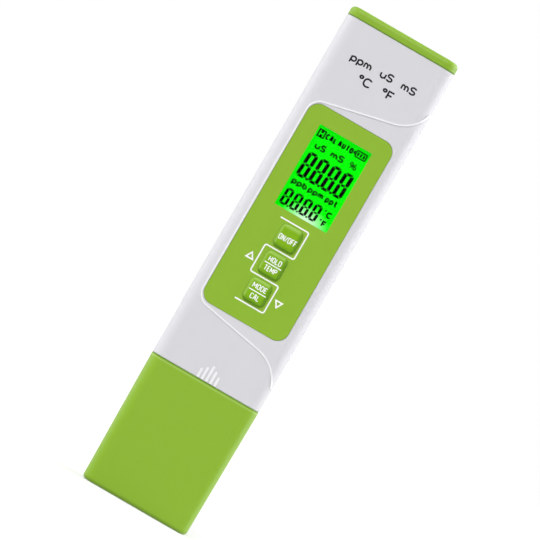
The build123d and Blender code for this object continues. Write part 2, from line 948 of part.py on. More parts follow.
def make_battery_lid():
    """End lid: rounded cover, hollow plug with a seal groove, two snap arms."""
    cover = prism(0, body_top_z, top_z)
    low_edges, high_edges = ends_in_z(cover)
    cover = fillet(high_edges, lid_edge_radius)
    low_edges, high_edges = ends_in_z(cover)
    cover = chamfer(low_edges, edge_break)
    plug_inset = wall + plug_clearance
    cover += prism(plug_inset, tray_top_z, body_top_z)
    seal_low_z = (tray_top_z + body_top_z - seal_height) / 2
    cover -= ring(plug_inset, plug_inset + seal_depth, seal_low_z, seal_low_z + seal_height)
    pocket_inset = plug_inset + seal_depth + plug_wall
    pocket_roof_z = body_top_z - plug_roof
    cover -= prism(pocket_inset, tray_top_z, pocket_roof_z)
    hook_z = hook_bottom_z()
    inner_x = tray_outer_x + arm_gap
    for side in (-1, 1):
        arm_x = sorted((side * inner_x, side * (inner_x + arm_thickness)))
        cover += block(arm_x, (-arm_width / 2, arm_width / 2), (hook_z, pocket_roof_z))
        hook_x = sorted((side * (inner_x - hook_depth), side * inner_x))
        cover += block(hook_x, (-arm_width / 2, arm_width / 2), (hook_z, hook_z + hook_height))
    return cover


def make_battery_lid_seal():
    """Seal ring in the groove of the lid's plug."""
    seal_low_z = (tray_top_z + body_top_z - seal_height) / 2
    inner_inset = wall + plug_clearance + seal_depth
    return soft_ring(wall + seal_clearance, inner_inset, seal_low_z, seal_low_z + seal_height)


def make_probe_housing():
    """Sensing end: open chamber with flow slots, potting pocket, flanged spigot."""
    housing = prism(neck_inset, tip_z, neck_bottom_z)
    low_edges, high_edges = ends_in_z(housing)
    housing = fillet(low_edges, probe_edge_radius)
    housing -= prism(neck_inset + wall, tip_z, chamber_roof_z)
    spigot = Rectangle(spigot_width, spigot_depth)
    housing += extrude(Plane.XY.offset(neck_bottom_z) * spigot, spigot_height)
    flange = Rectangle(spigot_width + 2 * flange_overhang, spigot_depth + 2 * flange_overhang)
    housing += extrude(Plane.XY.offset(flange_bottom_z) * flange, flange_thickness)
    pocket = Rectangle(pocket_width, pocket_depth)
    housing -= extrude(Plane.XY.offset(pocket_floor_z) * pocket, spigot_top_z - pocket_floor_z)
    for side in (-1, 1):
        hole = shank_diameter + 2 * bore_fit
        housing -= upright(hole, side * electrode_x, 0, chamber_roof_z, pocket_floor_z)
    sheath_hole = sheath_diameter + 2 * bore_fit
    housing -= upright(sheath_hole, 0, 0, chamber_roof_z, pocket_floor_z)
    slot_z = tip_z + slot_rise + slot_height / 2
    for place in range(slot_count):
        x = (place - (slot_count - 1) / 2) * slot_spacing
        slot = Pos(x, slot_z) * Rot(0, 0, 90) * SlotOverall(slot_height, slot_width)
        housing -= slab(slot, -half_depth, half_depth)
    half_seal = seal_height / 2
    groove = ring(
        neck_inset, neck_inset + seal_depth, cap_seal_z - half_seal, cap_seal_z + half_seal
    )
    return housing - groove


def make_cap_seal():
    """Seal ring on the sensing end that the protective cap slides over."""
    half_seal = seal_height / 2
    return soft_ring(
        cap_wall + seal_clearance,
        neck_inset + seal_depth,
        cap_seal_z - half_seal,
        cap_seal_z + half_seal,
    )


def make_electrode(side):
    """Pin with a thinner shank through the septum and the potting."""
    x = side * electrode_x
    tip = upright(electrode_diameter, x, 0, chamber_roof_z - electrode_reach, chamber_roof_z)
    tip = chamfer(tip.faces().sort_by(Axis.Z)[0].edges(), electrode_diameter / 6)
    return tip + upright(shank_diameter, x, 0, chamber_roof_z, tail_top_z)


def make_temperature_sheath():
    """Closed tube that holds the thermistor in the water."""
    bottom_z = chamber_roof_z - sheath_reach
    tube = upright(sheath_diameter, 0, 0, bottom_z, tail_top_z)
    tube = chamfer(tube.faces().sort_by(Axis.Z)[0].edges(), sheath_end_wall / 2)
    return tube - upright(sheath_bore, 0, 0, bottom_z + sheath_end_wall, tail_top_z)


def thermistor_bottom_z():
    """Height at which the thermistor rests on the end of its sheath."""
    return chamber_roof_z - sheath_reach + sheath_end_wall


def make_thermistor():
    """Bead at the bottom of the sheath."""
    low = thermistor_bottom_z()
    bead = upright(thermistor_diameter, 0, 0, low, low + thermistor_length)
    return chamfer(bead.edges().filter_by(GeomType.CIRCLE), thermistor_diameter / 5)


def make_potting_block():
    """Sealing compound in the pocket, round the shanks and the sheath."""
    pocket = Rectangle(pocket_width, pocket_depth)
    potting = extrude(Plane.XY.offset(pocket_floor_z) * pocket, potting_depth)
    for side in (-1, 1):
        hole = shank_diameter + 2 * bore_fit
        potting -= upright(hole, side * electrode_x, 0, pocket_floor_z, potting_top_z)
    sheath_hole = sheath_diameter + 2 * bore_fit
    return potting - upright(sheath_hole, 0, 0, pocket_floor_z, potting_top_z)


def lead(start_x, end_x, start_z, turn_z, bend):
    """Wire that rises from the sensing end and shifts over to its place in the plug."""
    path = FilletPolyline(
        (start_x, 0, start_z),
        (start_x, 0, turn_z),
        (end_x, header_y, turn_z + lead_turn_length),
        (end_x, header_y, plug_bottom_z),
        radius=bend,
    )
    section = Plane(origin=path @ 0, z_dir=path % 0) * Circle(lead_diameter / 2)
    return sweep(section, path=path)


def make_electrode_lead(side):
    """Wire from one electrode to the outer place on its side of the plug."""
    end_x = side * max(lead_ends())
    turn_z = spigot_top_z + lead_diameter
    return lead(side * electrode_x, end_x, tail_top_z, turn_z, lead_bend)


def make_thermistor_leads():
    """The two wires of the thermistor, side by side."""
    start_z = thermistor_bottom_z() + thermistor_length
    turn_z = spigot_top_z + lead_diameter
    return Part() + [
        lead(
            side * thermistor_lead_x,
            side * lead_pitch / 2,
            start_z,
            turn_z,
            thermistor_lead_bend,
        )
        for side in (-1, 1)
    ]


def make_protective_cap():
    """Cap over the sensing end, drafted towards its foot."""
    foot = RectangleRounded(
        overall_width - 2 * cap_draft, overall_depth - 2 * cap_draft, corner_radius - cap_draft
    )
    draft_angle = math.degrees(math.atan2(cap_draft, cap_length))
    cap = extrude(foot, cap_length, taper=-draft_angle)
    low_edges, high_edges = ends_in_z(cap)
    cap = fillet(low_edges, cap_foot_radius)
    low_edges, high_edges = ends_in_z(cap)
    cap = chamfer(high_edges, edge_break)
    return cap - prism(cap_wall, cap_floor, cap_length)


def all_parts():
    """Every piece of the tester by name."""
    parts = {
        "front_shell": make_front_shell(),
        "rear_shell": make_rear_shell(),
        "keypad_overlay": make_keypad_overlay(),
        "display_window": make_display_window(),
        "lcd_frame": make_lcd_frame(),
        "lcd_front_glass": make_lcd_front_glass(),
        "lcd_rear_glass": make_lcd_rear_glass(),
        "backlight_plate": make_backlight_plate(),
        "backlight_led": make_backlight_led(),
        "lcd_connector_strip": make_lcd_connector_strip(),
        "main_board": make_main_board(),
        "board_screws": make_board_screws(),
        "processor_chip": make_processor_chip(),
        "amplifier_chip": make_amplifier_chip(),
        "crystal": make_crystal(),
        "board_components": make_board_components(),
        "sensor_header": make_sensor_header(),
        "sensor_plug": make_sensor_plug(),
        "contact_carrier": make_contact_carrier(),
        "battery_lid": make_battery_lid(),
        "battery_lid_seal": make_battery_lid_seal(),
        "battery_tray": make_battery_tray(),
        "positive_contact": make_positive_contact(),
        "negative_contact": make_negative_contact(),
        "probe_housing": make_probe_housing(),
        "temperature_sheath": make_temperature_sheath(),
        "thermistor": make_thermistor(),
        "thermistor_leads": make_thermistor_leads(),
        "potting_block": make_potting_block(),
        "cap_seal": make_cap_seal(),
        "neck_screws": make_neck_screws(),
        "protective_cap": make_protective_cap(),
    }
    for name, z in zip(("power", "hold", "mode"), key_heights):
        parts[f"{name}_key"] = make_key(z)
        parts[f"{name}_switch_body"] = make_switch_body(z)
        parts[f"{name}_switch_plunger"] = make_switch_plunger(z)
    for name, side in (("left", -1), ("right", 1)):
        parts[f"electrode_{name}"] = make_electrode(side)
        parts[f"electrode_lead_{name}"] = make_electrode_lead(side)
        parts[f"contact_spring_{name}"] = make_contact_spring(side)
    for place in range(cell_count):
        parts[f"cell_{place + 1}"] = make_cell(place)
    return parts


for part_name, part_shape in all_parts().items():
    export_step(part_shape, f"parts/{part_name}.step")
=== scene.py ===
"""Looks of a pen-type water quality tester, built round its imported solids.

Blender works in metres here. The tester stands on the foot of its cap: +Z runs up along its
length, the display faces -Y, and +X is to the right of the display. Printed pieces are drawn
in millimetres on the face that carries them and made into thin solid pieces.
"""

from __future__ import annotations

import functools
import json
import logging
import math
from dataclasses import dataclass, field, replace
from enum import Enum

import bmesh
import bpy
from mathutils import Matrix, Vector

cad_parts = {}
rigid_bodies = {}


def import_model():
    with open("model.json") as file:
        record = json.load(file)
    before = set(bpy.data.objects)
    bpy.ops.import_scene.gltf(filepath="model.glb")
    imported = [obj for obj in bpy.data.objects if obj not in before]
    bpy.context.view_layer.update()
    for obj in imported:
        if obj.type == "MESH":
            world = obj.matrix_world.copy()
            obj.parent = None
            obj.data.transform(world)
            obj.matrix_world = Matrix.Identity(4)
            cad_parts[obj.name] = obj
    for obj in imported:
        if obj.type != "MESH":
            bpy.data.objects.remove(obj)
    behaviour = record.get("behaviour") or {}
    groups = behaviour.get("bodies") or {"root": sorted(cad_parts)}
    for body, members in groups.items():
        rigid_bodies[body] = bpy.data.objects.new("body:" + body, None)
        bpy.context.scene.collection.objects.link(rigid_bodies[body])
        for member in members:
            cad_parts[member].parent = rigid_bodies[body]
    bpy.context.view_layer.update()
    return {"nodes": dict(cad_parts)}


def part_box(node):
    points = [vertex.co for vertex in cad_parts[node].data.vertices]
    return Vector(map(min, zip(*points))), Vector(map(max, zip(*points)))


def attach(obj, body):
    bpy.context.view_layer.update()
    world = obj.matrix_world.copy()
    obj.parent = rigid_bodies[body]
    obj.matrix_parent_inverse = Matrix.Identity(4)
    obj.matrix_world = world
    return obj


for leftover in list(bpy.data.objects):
    bpy.data.objects.remove(leftover)
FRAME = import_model()

LOG = logging.getLogger("tester")
MM = 0.001

Colour = tuple[float, float, float]
Point = tuple[float, float]
Socket = bpy.types.NodeSocket
Value = float | Socket


class Facing(Enum):
    """The side that a printed face looks to."""

    FRONT = "front"
    BACK = "back"

    def turn(self) -> Matrix:
        """Works out how a drawing is laid on this side.

        Returns:
            The rotation from a drawing that faces +Z to this side.
        """
        upright = Matrix.Rotation(math.radians(90.0), 4, "X")
        if self is Facing.BACK:
            return Matrix.Rotation(math.radians(180.0), 4, "Z") @ upright
        return upright


class Recipe:
    """One node material in the making, with short ways to add and join its nodes."""

    def __init__(self, name: str) -> None:
        """Starts a material that holds one Principled shader.

        Args:
            name: Name of the material.
        """
        self.material = bpy.data.materials.new(name)
        self.material.use_nodes = True
        self.nodes = self.material.node_tree.nodes
        self.links = self.material.node_tree.links
        self.nodes.clear()
        self.surface = self.nodes.new("ShaderNodeBsdfPrincipled")
        self.output = self.nodes.new("ShaderNodeOutputMaterial")
        self.links.new(self.surface.outputs["BSDF"], self.output.inputs["Surface"])
        coordinates = self.nodes.new("ShaderNodeTexCoord")
        self.place = coordinates.outputs["Object"]
        self.facing = coordinates.outputs["Normal"]

    def feed(self, target: Socket, value: Value | Colour | tuple[float, ...]) -> None:
        """Joins a socket to a source, or sets it.

        Args:
            target: Input socket of a node.
            value: Output socket of another node, or a plain value.
        """
        if isinstance(value, bpy.types.NodeSocket):
            self.links.new(value, target)
        else:
            target.default_value = value

    def put(self, socket: str, value: Value | Colour | tuple[float, ...]) -> None:
        """Feeds a socket of the Principled shader, by its name."""
        self.feed(self.surface.inputs[socket], value)

    def math(self, operation: str, first: Value, second: Value = 0.0) -> Socket:
        """Adds a Math node.

        Args:
            operation: Blender's name of the operation.
            first: First number.
            second: Second number.

        Returns:
            The result.
        """
        node = self.nodes.new("ShaderNodeMath")
        node.operation = operation
        self.feed(node.inputs[0], first)
        self.feed(node.inputs[1], second)
        return node.outputs[0]

    def axes(self, vector: Socket | None = None) -> tuple[Socket, Socket, Socket]:
        """Splits a vector into its parts.

        Args:
            vector: The vector, by default the place on the object.

        Returns:
            Its X, Y and Z.
        """
        node = self.nodes.new("ShaderNodeSeparateXYZ")
        self.links.new(vector or self.place, node.inputs[0])
        return node.outputs[0], node.outputs[1], node.outputs[2]

    def offset(self, axis: Value, middle: float) -> Socket:
        """Returns the distance of one coordinate from a middle value."""
        return self.math("ABSOLUTE", self.math("SUBTRACT", axis, middle))

    def length(self, first: Value, second: Value) -> Socket:
        """Returns the length of a flat vector."""
        squares = self.math("MULTIPLY", first, first), self.math("MULTIPLY", second, second)
        return self.math("SQRT", self.math("ADD", *squares))

    def stretched(self, stretch: Colour) -> Socket:
        """Draws the place on the object out along each axis.

        Args:
            stretch: Factor along X, Y and Z.

        Returns:
            The new place.
        """
        node = self.nodes.new("ShaderNodeMapping")
        self.links.new(self.place, node.inputs["Vector"])
        node.inputs["Scale"].default_value = [1.0 / factor for factor in stretch]
        return node.outputs["Vector"]

    def noise(self, size: float, detail: float = 2.0, at: Socket | None = None) -> Socket:
        """Adds a cloudy pattern.

        Args:
            size: Size of its clouds, in metres.
            detail: Number of finer octaves in it.
            at: Coordinates to draw it at, by default the place on the object.

        Returns:
            Its value, from 0 to 1.
        """
        node = self.nodes.new("ShaderNodeTexNoise")
        node.inputs["Scale"].default_value = 1.0 / size
        node.inputs["Detail"].default_value = detail
        self.links.new(at or self.place, node.inputs["Vector"])
        return node.outputs["Fac"]

    def dots(self, pitch: float, scatter: float = 1.0) -> Socket:
        """Adds scattered points.

        Args:
            pitch: Mean distance from point to point, in metres.
            scatter: From 0, a square grid, to 1, fully scattered.

        Returns:
            Distance to the nearest point, as a share of the pitch.
        """
        node = self.nodes.new("ShaderNodeTexVoronoi")
        node.inputs["Scale"].default_value = 1.0 / pitch
        node.inputs["Randomness"].default_value = scatter
        self.links.new(self.place, node.inputs["Vector"])
        return node.outputs["Distance"]

    def spread(self, value: Socket, low: Point, high: Point, smooth: bool = False) -> Socket:
        """Maps a range of values to another, and holds its ends.

        Args:
            value: Number to map.
            low: A value, and what it becomes.
            high: A higher value, and what it becomes.
            smooth: Whether the change eases in and out.

        Returns:
            The mapped number.
        """
        node = self.nodes.new("ShaderNodeMapRange")
        node.interpolation_type = "SMOOTHSTEP" if smooth else "LINEAR"
        self.links.new(value, node.inputs[0])
        node.inputs[1].default_value, node.inputs[3].default_value = low
        node.inputs[2].default_value, node.inputs[4].default_value = high
        return node.outputs[0]

    def tint(self, share: Value, first: Socket | Colour, second: Socket | Colour) -> Socket:
        """Mixes two colours.

        Args:
            share: How much of the second colour is in the mix.
            first: Colour at 0.
            second: Colour at 1.

        Returns:
            The mixed colour.
        """
        node = self.nodes.new("ShaderNodeMix")
        node.data_type = "RGBA"
        self.feed(node.inputs[0], share)
        for socket, colour in ((node.inputs[6], first), (node.inputs[7], second)):
            self.feed(socket, colour if isinstance(colour, Socket) else (*colour, 1.0))
        return node.outputs[2]

    def relief(self, height: Socket, depth: float, below: Socket | None = None) -> Socket:
        """Turns a pattern into fine relief.

        Args:
            height: Pattern from 0 to 1.
            depth: Height of the relief, in metres.
            below: Coarser relief that this one lies on.

        Returns:
            The bent normal.
        """
        node = self.nodes.new("ShaderNodeBump")
        node.inputs["Distance"].default_value = depth
        self.links.new(height, node.inputs["Height"])
        if below is not None:
            self.links.new(below, node.inputs["Normal"])
        return node.outputs["Normal"]


def shaded(colour: Colour, factor: float) -> Colour:
    """Returns a colour made lighter or darker by a factor."""
    return tuple(min(part * factor, 1.0) for part in colour)


@dataclass(frozen=True)
class Finish:
    """What the finishes of the tester have in common.

    Attributes:
        name: Name of the material.
        colour: Base colour in linear light.
        roughness: Mean roughness.
    """

    name: str
    colour: Colour
    roughness: float

    def build(self) -> bpy.types.Material:
        """Builds the material.

        Returns:
            The material.
        """
        recipe = Recipe(self.name)
        self.mix(recipe)
        return recipe.material

    def mix(self, recipe: Recipe) -> None:
        """Adds what makes this finish.

        Args:
            recipe: Material in the making.
        """
        raise NotImplementedError(self.name)


@functools.cache
def material_of(finish: Finish) -> bpy.types.Material:
    """Returns the one material of a finish, made when it is first asked for."""
    return finish.build()


@dataclass(frozen=True)
class Band:
    """Narrow band along a seam or edge: a darker line of painted shade in a seam, or a lighter line of
    painted highlight along an edge.

    Attributes:
        place: Where its middle lies along the axis, in metres.
        half: Half of its width, in metres.
        colour: Its colour.
        cover: How far it covers the colour below.
        axis: Axis that it lies square to: 0 for X, 1 for Y or 2 for Z.
    """

    place: float
    half: float
    colour: Colour
    cover: float = 1.0
    axis: int = 2

    def lay(self, recipe: Recipe, base: Socket) -> Socket:
        """Lays the band over a colour.

        Args:
            recipe: Material in the making.
            base: Colour so far.

        Returns:
            The new colour.
        """
        away = recipe.offset(recipe.axes()[self.axis], self.place)
        share = recipe.spread(away, (self.half * 0.7, self.cover), (self.half * 1.3, 0.0))
        return recipe.tint(share, base, self.colour)


@dataclass(frozen=True)
class MouldedPlastic(Finish):
    """Moulded plastic or rubber: faint flow clouds, fine mould grain and uneven gloss.

    Attributes:
        clouds: Relative change of brightness over the part.
        cloud_size: Size of the clouds, in metres.
        grain_size: Size of the mould grain, in metres.
        grain_depth: Depth of the mould grain, in metres.
        gloss_change: How much the roughness wanders.
        specular: Specular level of the surface.
        bands: Bands of painted shade in the part's seams and of painted highlight along its edges.
    """

    clouds: float = 0.02
    cloud_size: float = 0.012
    grain_size: float = 0.0004
    grain_depth: float = 0.0000015
    gloss_change: float = 0.05
    specular: float = 0.5
    bands: tuple[Band, ...] = ()

    def paint(self, recipe: Recipe, base: Socket) -> Socket:
        """Returns the base colour with any further pattern, here none."""
        return base

    def banded(self, recipe: Recipe, base: Socket) -> Socket:
        """Lays the bands of painted shade and painted highlight over a colour.

        Args:
            recipe: Material in the making.
            base: Colour so far.

        Returns:
            The new colour.
        """
        for band in self.bands:
            base = band.lay(recipe, base)
        return base

    def mix(self, recipe: Recipe) -> None:
        """Adds what makes this finish.

        Args:
            recipe: Material in the making.
        """
        clouds = recipe.noise(self.cloud_size, 3.0)
        low, high = shaded(self.colour, 1.0 - self.clouds), shaded(self.colour, 1.0 + self.clouds)
        colour = self.paint(recipe, recipe.tint(clouds, low, high))
        recipe.put("Base Color", self.banded(recipe, colour))
        wander = recipe.noise(self.cloud_size * 0.3, 4.0)
        dull, bright = self.roughness + self.gloss_change, self.roughness - self.gloss_change
        recipe.put("Roughness", recipe.spread(wander, (0.3, bright), (0.7, dull)))
        grain = recipe.noise(self.grain_size, 1.0)
        recipe.put("Normal", recipe.relief(grain, self.grain_depth))
        recipe.put("Specular IOR Level", self.specular)


@dataclass(frozen=True)
class RidgeHighlightPlastic(MouldedPlastic):
    """Shell plastic with a painted highlight: its raised line and bars are painted lighter than the wall
    they stand on.

    Attributes:
        raised: Colour of the painted highlight on the raised parts.
        core: Half width and half depth of the section inside its rounded corners, in metres.
        radius: Radius of the section's corners, in metres.
    """

    raised: Colour = (0.86, 0.86, 0.88)
    core: Point = (0.015, 0.00525)
    radius: float = 0.004

    def paint(self, recipe: Recipe, base: Socket) -> Socket:
        """Returns the base colour with a painted highlight on what stands proud of the wall.

        Args:
            recipe: Material in the making.
            base: Colour so far.

        Returns:
            The new colour.
        """
        x, y, _ = recipe.axes()
        outside = [
            recipe.math("MAXIMUM", recipe.math("SUBTRACT", recipe.offset(axis, 0.0), half), 0.0)
            for axis, half in ((x, self.core[0]), (y, self.core[1]))
        ]
        distance = recipe.length(*outside)
        start, end = self.radius + 0.03 * MM, self.radius + 0.12 * MM
        # Painted highlight: past the section's rounded corners, on the raised line and bars, the colour
        # turns paler.
        return recipe.tint(recipe.spread(distance, (start, 0.0), (end, 1.0)), base, self.raised)


@dataclass(frozen=True)
class KeyPaintedShading(MouldedPlastic):
    """Glossy key with painted light: a painted highlight along its top and left edges, and painted shade
    along its bottom and right edges.

    Attributes:
        height: Height of the key's middle, in metres.
        half: Half of the key's width and of its height, in metres.
        deep: Colour of the painted shade along the bottom and right edges.
        pale: Colour of the painted highlight along the top and left edges.
    """

    height: float = 0.0
    half: Point = (0.0037, 0.0039)
    deep: Colour = (0.11, 0.27, 0.004)
    pale: Colour = (0.34, 0.56, 0.1)

    def paint(self, recipe: Recipe, base: Socket) -> Socket:
        """Returns the base colour with a painted highlight at the top and left edges and painted shade at
        the bottom and right ones.

        Args:
            recipe: Material in the making.
            base: Colour so far.

        Returns:
            The new colour.
        """
        x, _, z = recipe.axes()
        side = recipe.math("DIVIDE", x, self.half[0])
        rise = recipe.math("DIVIDE", recipe.math("SUBTRACT", z, self.height), self.half[1])
        # Painted highlight along the top and left edges, as if lit from the top left.
        upper = recipe.spread(rise, (0.6, 0.0), (0.9, 0.8), smooth=True)
        left = recipe.spread(side, (-0.95, 0.7), (-0.7, 0.0), smooth=True)
        light = recipe.math("MAXIMUM", upper, left)
        # Painted shade along the bottom and right edges.
        lower = recipe.spread(rise, (-0.98, 1.0), (-0.55, 0.0), smooth=True)
        right = recipe.spread(side, (0.55, 0.0), (0.85, 0.9), smooth=True)
        shade = recipe.math("MAXIMUM", lower, right)
        return recipe.tint(shade, recipe.tint(light, base, self.pale), self.deep)


@dataclass(frozen=True)
class SidedPlastic(MouldedPlastic):
    """Wire jacket whose left and right strands have colours of their own.

    Attributes:
        other: Colour on the right of the middle.
    """

    other: Colour = (0.6, 0.6, 0.58)

    def paint(self, recipe: Recipe, base: Socket) -> Socket:
        """Returns the base colour on the left and the other one on the right."""
        right = recipe.math("GREATER_THAN", recipe.axes()[0], 0.0)
        return recipe.tint(right, base, self.other)


@dataclass(frozen=True)
class ChipPackage(MouldedPlastic):
    """Black chip package with tinned legs and a small round mark at its first leg.

    Attributes:
        middle: X and Z of the package's middle, in metres.
        half: Half width and half height of the package, in metres.
        mark: Distance of the round mark from the corner, in metres.
        tin: Colour of the legs.
    """

    middle: Point = (0.0, 0.0)
    half: Point = (0.0045, 0.0045)
    mark: float = 0.0009
    tin: Colour = (0.62, 0.61, 0.58)

    def mix(self, recipe: Recipe) -> None:
        """Adds what makes this finish.

        Args:
            recipe: Material in the making.
        """
        x, _, z = recipe.axes()
        past = [
            recipe.math("SUBTRACT", recipe.offset(axis, middle), half)
            for axis, middle, half in zip((x, z), self.middle, self.half)
        ]
        legs = recipe.math("GREATER_THAN", recipe.math("MAXIMUM", *past), 0.02 * MM)
        corner = [recipe.offset(past[place], -self.mark) for place in (0, 1)]
        near = recipe.math("LESS_THAN", recipe.length(*corner), 0.35 * MM)
        first = recipe.math("MULTIPLY", near, recipe.math("LESS_THAN", x, self.middle[0]))
        first = recipe.math("MULTIPLY", first, recipe.math("GREATER_THAN", z, self.middle[1]))
        resin = recipe.tint(recipe.noise(0.5 * MM), shaded(self.colour, 0.7), shaded(self.colour, 1.3))
        resin = recipe.tint(first, resin, shaded(self.colour, 3.0))
        recipe.put("Base Color", recipe.tint(legs, resin, self.tin))
        recipe.put("Metallic", legs)
        recipe.put("Roughness", recipe.spread(legs, (0.0, self.roughness), (1.0, 0.3)))
        recipe.put("Normal", recipe.relief(recipe.noise(0.15 * MM), 3e-6))


@dataclass(frozen=True)
class ChipCeramic(Finish):
    """Small chip resistors and capacitors with tinned ends.

    Attributes:
        rows: Heights of the rows, in metres.
        middle: Half length of the ceramic between the ends, in metres.
        black: Colour of every second column, the resistors.
        speck: Colour of the specks in the ceramic.
        tin: Colour of the ends.
    """

    rows: tuple[float, ...] = ()
    middle: float = 0.00062
    black: Colour = (0.03, 0.03, 0.035)
    speck: Colour = (0.5, 0.4, 0.3)
    tin: Colour = (0.66, 0.65, 0.62)

    def mix(self, recipe: Recipe) -> None:
        """Adds what makes this finish.

        Args:
            recipe: Material in the making.
        """
        x, _, z = recipe.axes()
        near = recipe.offset(z, self.rows[0])
        for row in self.rows[1:]:
            near = recipe.math("MINIMUM", near, recipe.offset(z, row))
        ends = recipe.math("GREATER_THAN", near, self.middle)
        column = recipe.math("PINGPONG", recipe.math("ADD", x, 1.8 * MM), 3.6 * MM)
        black = recipe.math("GREATER_THAN", column, 1.8 * MM)
        body = recipe.tint(black, self.colour, self.black)
        speckle = recipe.noise(0.2 * MM, 3.0)
        body = recipe.tint(recipe.spread(speckle, (0.4, 0.0), (0.8, 0.5)), body, self.speck)
        recipe.put("Base Color", recipe.tint(ends, body, self.tin))
        recipe.put("Metallic", ends)
        recipe.put("Roughness", recipe.spread(ends, (0.0, self.roughness), (1.0, 0.35)))
        recipe.put("Normal", recipe.relief(speckle, 4e-6))


@dataclass(frozen=True)
class BrushedMetal(Finish):
    """Rolled, plated or turned metal: fine lines one way and a cloudy sheen.

    Attributes:
        stretch: How far the lines are drawn out along each axis.
        line_depth: Depth of the lines, in metres.
    """

    stretch: Colour = (30.0, 1.0, 1.0)
    line_depth: float = 1e-6

    def paint(self, recipe: Recipe, base: Socket) -> tuple[Socket, Value]:
        """Returns the colour and how metallic it is, here the bare metal."""
        return base, 1.0

    def mix(self, recipe: Recipe) -> None:
        """Adds what makes this finish.

        Args:
            recipe: Material in the making.
        """
        lines = recipe.noise(0.06 * MM, 2.0, recipe.stretched(self.stretch))
        clouds = recipe.noise(2.5 * MM, 3.0)
        metal = recipe.tint(clouds, shaded(self.colour, 0.9), shaded(self.colour, 1.08))
        colour, metallic = self.paint(recipe, metal)
        recipe.put("Base Color", colour)
        recipe.put("Metallic", metallic)
        halves = [recipe.math("MULTIPLY", pattern, 0.5) for pattern in (lines, clouds)]
        wander = recipe.math("ADD", *halves)
        low, high = self.roughness - 0.08, self.roughness + 0.1
        recipe.put("Roughness", recipe.spread(wander, (0.3, low), (0.7, high)))
        recipe.put("Normal", recipe.relief(lines, self.line_depth))


@dataclass(frozen=True)
class CellCan(BrushedMetal):
    """Plated button cell with the polymer ring that seals its rim.

    Attributes:
        axis: Y and Z of the axis that the cells lie on, in metres.
        ring: Inner and outer radius of the polymer ring, in metres.
        polymer: Colour of the ring.
    """

    axis: Point = (0.0, 0.0)
    ring: Point = (0.00472, 0.00508)
    polymer: Colour = (0.02, 0.09, 0.06)

    def paint(self, recipe: Recipe, base: Socket) -> tuple[Socket, Value]:
        """Returns the metal, with the polymer ring let into it.

        Args:
            recipe: Material in the making.
            base: Colour of the metal.

        Returns:
            The colour, and how metallic it is.
        """
        _, y, z = recipe.axes()
        flat = [recipe.math("SUBTRACT", axis, middle) for axis, middle in zip((y, z), self.axis)]
        radius = recipe.length(*flat)
        past = recipe.math("GREATER_THAN", radius, self.ring[0])
        ring = recipe.math("MULTIPLY", past, recipe.math("LESS_THAN", radius, self.ring[1]))
        return recipe.tint(ring, base, self.polymer), recipe.math("SUBTRACT", 1.0, ring)


@dataclass(frozen=True)
class PrintedBoard(Finish):
    """Circuit board: solder mask over copper traces, tinned holes and glass-fibre edges.

    Attributes:
        copper: Colour of the mask over copper.
        pitch: Distance from trace to trace, in metres.
        trace: Half width of a trace, as a share of the pitch.
        hole: Radius of a hole's ring, as a share of the distance between holes.
        tin: Colour of the ring round a hole.
        fibres: Colours of the glass fibre in the edges.
    """

    copper: Colour = (0.03, 0.27, 0.09)
    pitch: float = 0.00127
    trace: float = 0.13
    hole: float = 0.12
    tin: Colour = (0.62, 0.6, 0.52)
    fibres: tuple[Colour, Colour] = ((0.36, 0.33, 0.16), (0.58, 0.55, 0.33))

    def mix(self, recipe: Recipe) -> None:
        """Adds what makes this finish.

        Args:
            recipe: Material in the making.
        """
        x, _, z = recipe.axes()
        jog = recipe.math("PINGPONG", z, 7.0 * MM)
        jog = recipe.spread(jog, (2.0 * MM, 0.0), (4.54 * MM, 2.54 * MM))
        across = recipe.math("DIVIDE", recipe.math("ADD", x, jog), self.pitch)
        wave = recipe.math("PINGPONG", across, 0.5)
        present = recipe.noise(6.0 * MM, 0.0, recipe.stretched((1.0, 1.0, 4.0)))
        trace = recipe.math("LESS_THAN", wave, self.trace)
        trace = recipe.math("MULTIPLY", trace, recipe.math("GREATER_THAN", present, 0.47))
        spots = recipe.dots(3.4 * MM, 0.8)
        hole = recipe.math("LESS_THAN", spots, self.hole)
        pools = recipe.noise(3.0 * MM, 3.0)
        mask = recipe.tint(pools, shaded(self.colour, 0.85), shaded(self.colour, 1.15))
        face = recipe.tint(hole, recipe.tint(trace, mask, self.copper), self.tin)
        fibre = recipe.noise(0.09 * MM, 2.0, recipe.stretched((6.0, 1.0, 6.0)))
        edge = recipe.tint(fibre, *self.fibres)
        side = recipe.math("LESS_THAN", recipe.offset(recipe.axes(recipe.facing)[1], 0.0), 0.5)
        recipe.put("Base Color", recipe.tint(side, face, edge))
        recipe.put("Metallic", recipe.math("MULTIPLY", hole, recipe.math("SUBTRACT", 1.0, side)))
        recipe.put("Roughness", recipe.spread(side, (0.0, self.roughness), (1.0, 0.8)))
        rise = recipe.math("ADD", trace, recipe.math("MULTIPLY", fibre, 0.1))
        recipe.put("Normal", recipe.relief(rise, 2.5e-5))


@dataclass(frozen=True)
class ClearSheet(Finish):
    """Clear acrylic window: nearly unseen from the front, with glossy, denser edges.

    Attributes:
        front: Opacity seen square on.
        rim: Opacity seen along the surface.
    """

    front: float = 0.05
    rim: float = 0.75

    def mix(self, recipe: Recipe) -> None:
        """Adds what makes this finish.

        Args:
            recipe: Material in the making.
        """
        weight = recipe.nodes.new("ShaderNodeLayerWeight")
        weight.inputs["Blend"].default_value = 0.3
        slant = recipe.math("POWER", weight.outputs["Facing"], 2.0)
        recipe.put("Alpha", recipe.spread(slant, (0.0, self.front), (1.0, self.rim)))
        haze = recipe.noise(3.0 * MM, 3.0)
        recipe.put("Base Color", recipe.tint(haze, shaded(self.colour, 0.8), shaded(self.colour, 1.2)))
        recipe.put("Roughness", recipe.spread(haze, (0.3, self.roughness), (0.7, self.roughness * 2)))


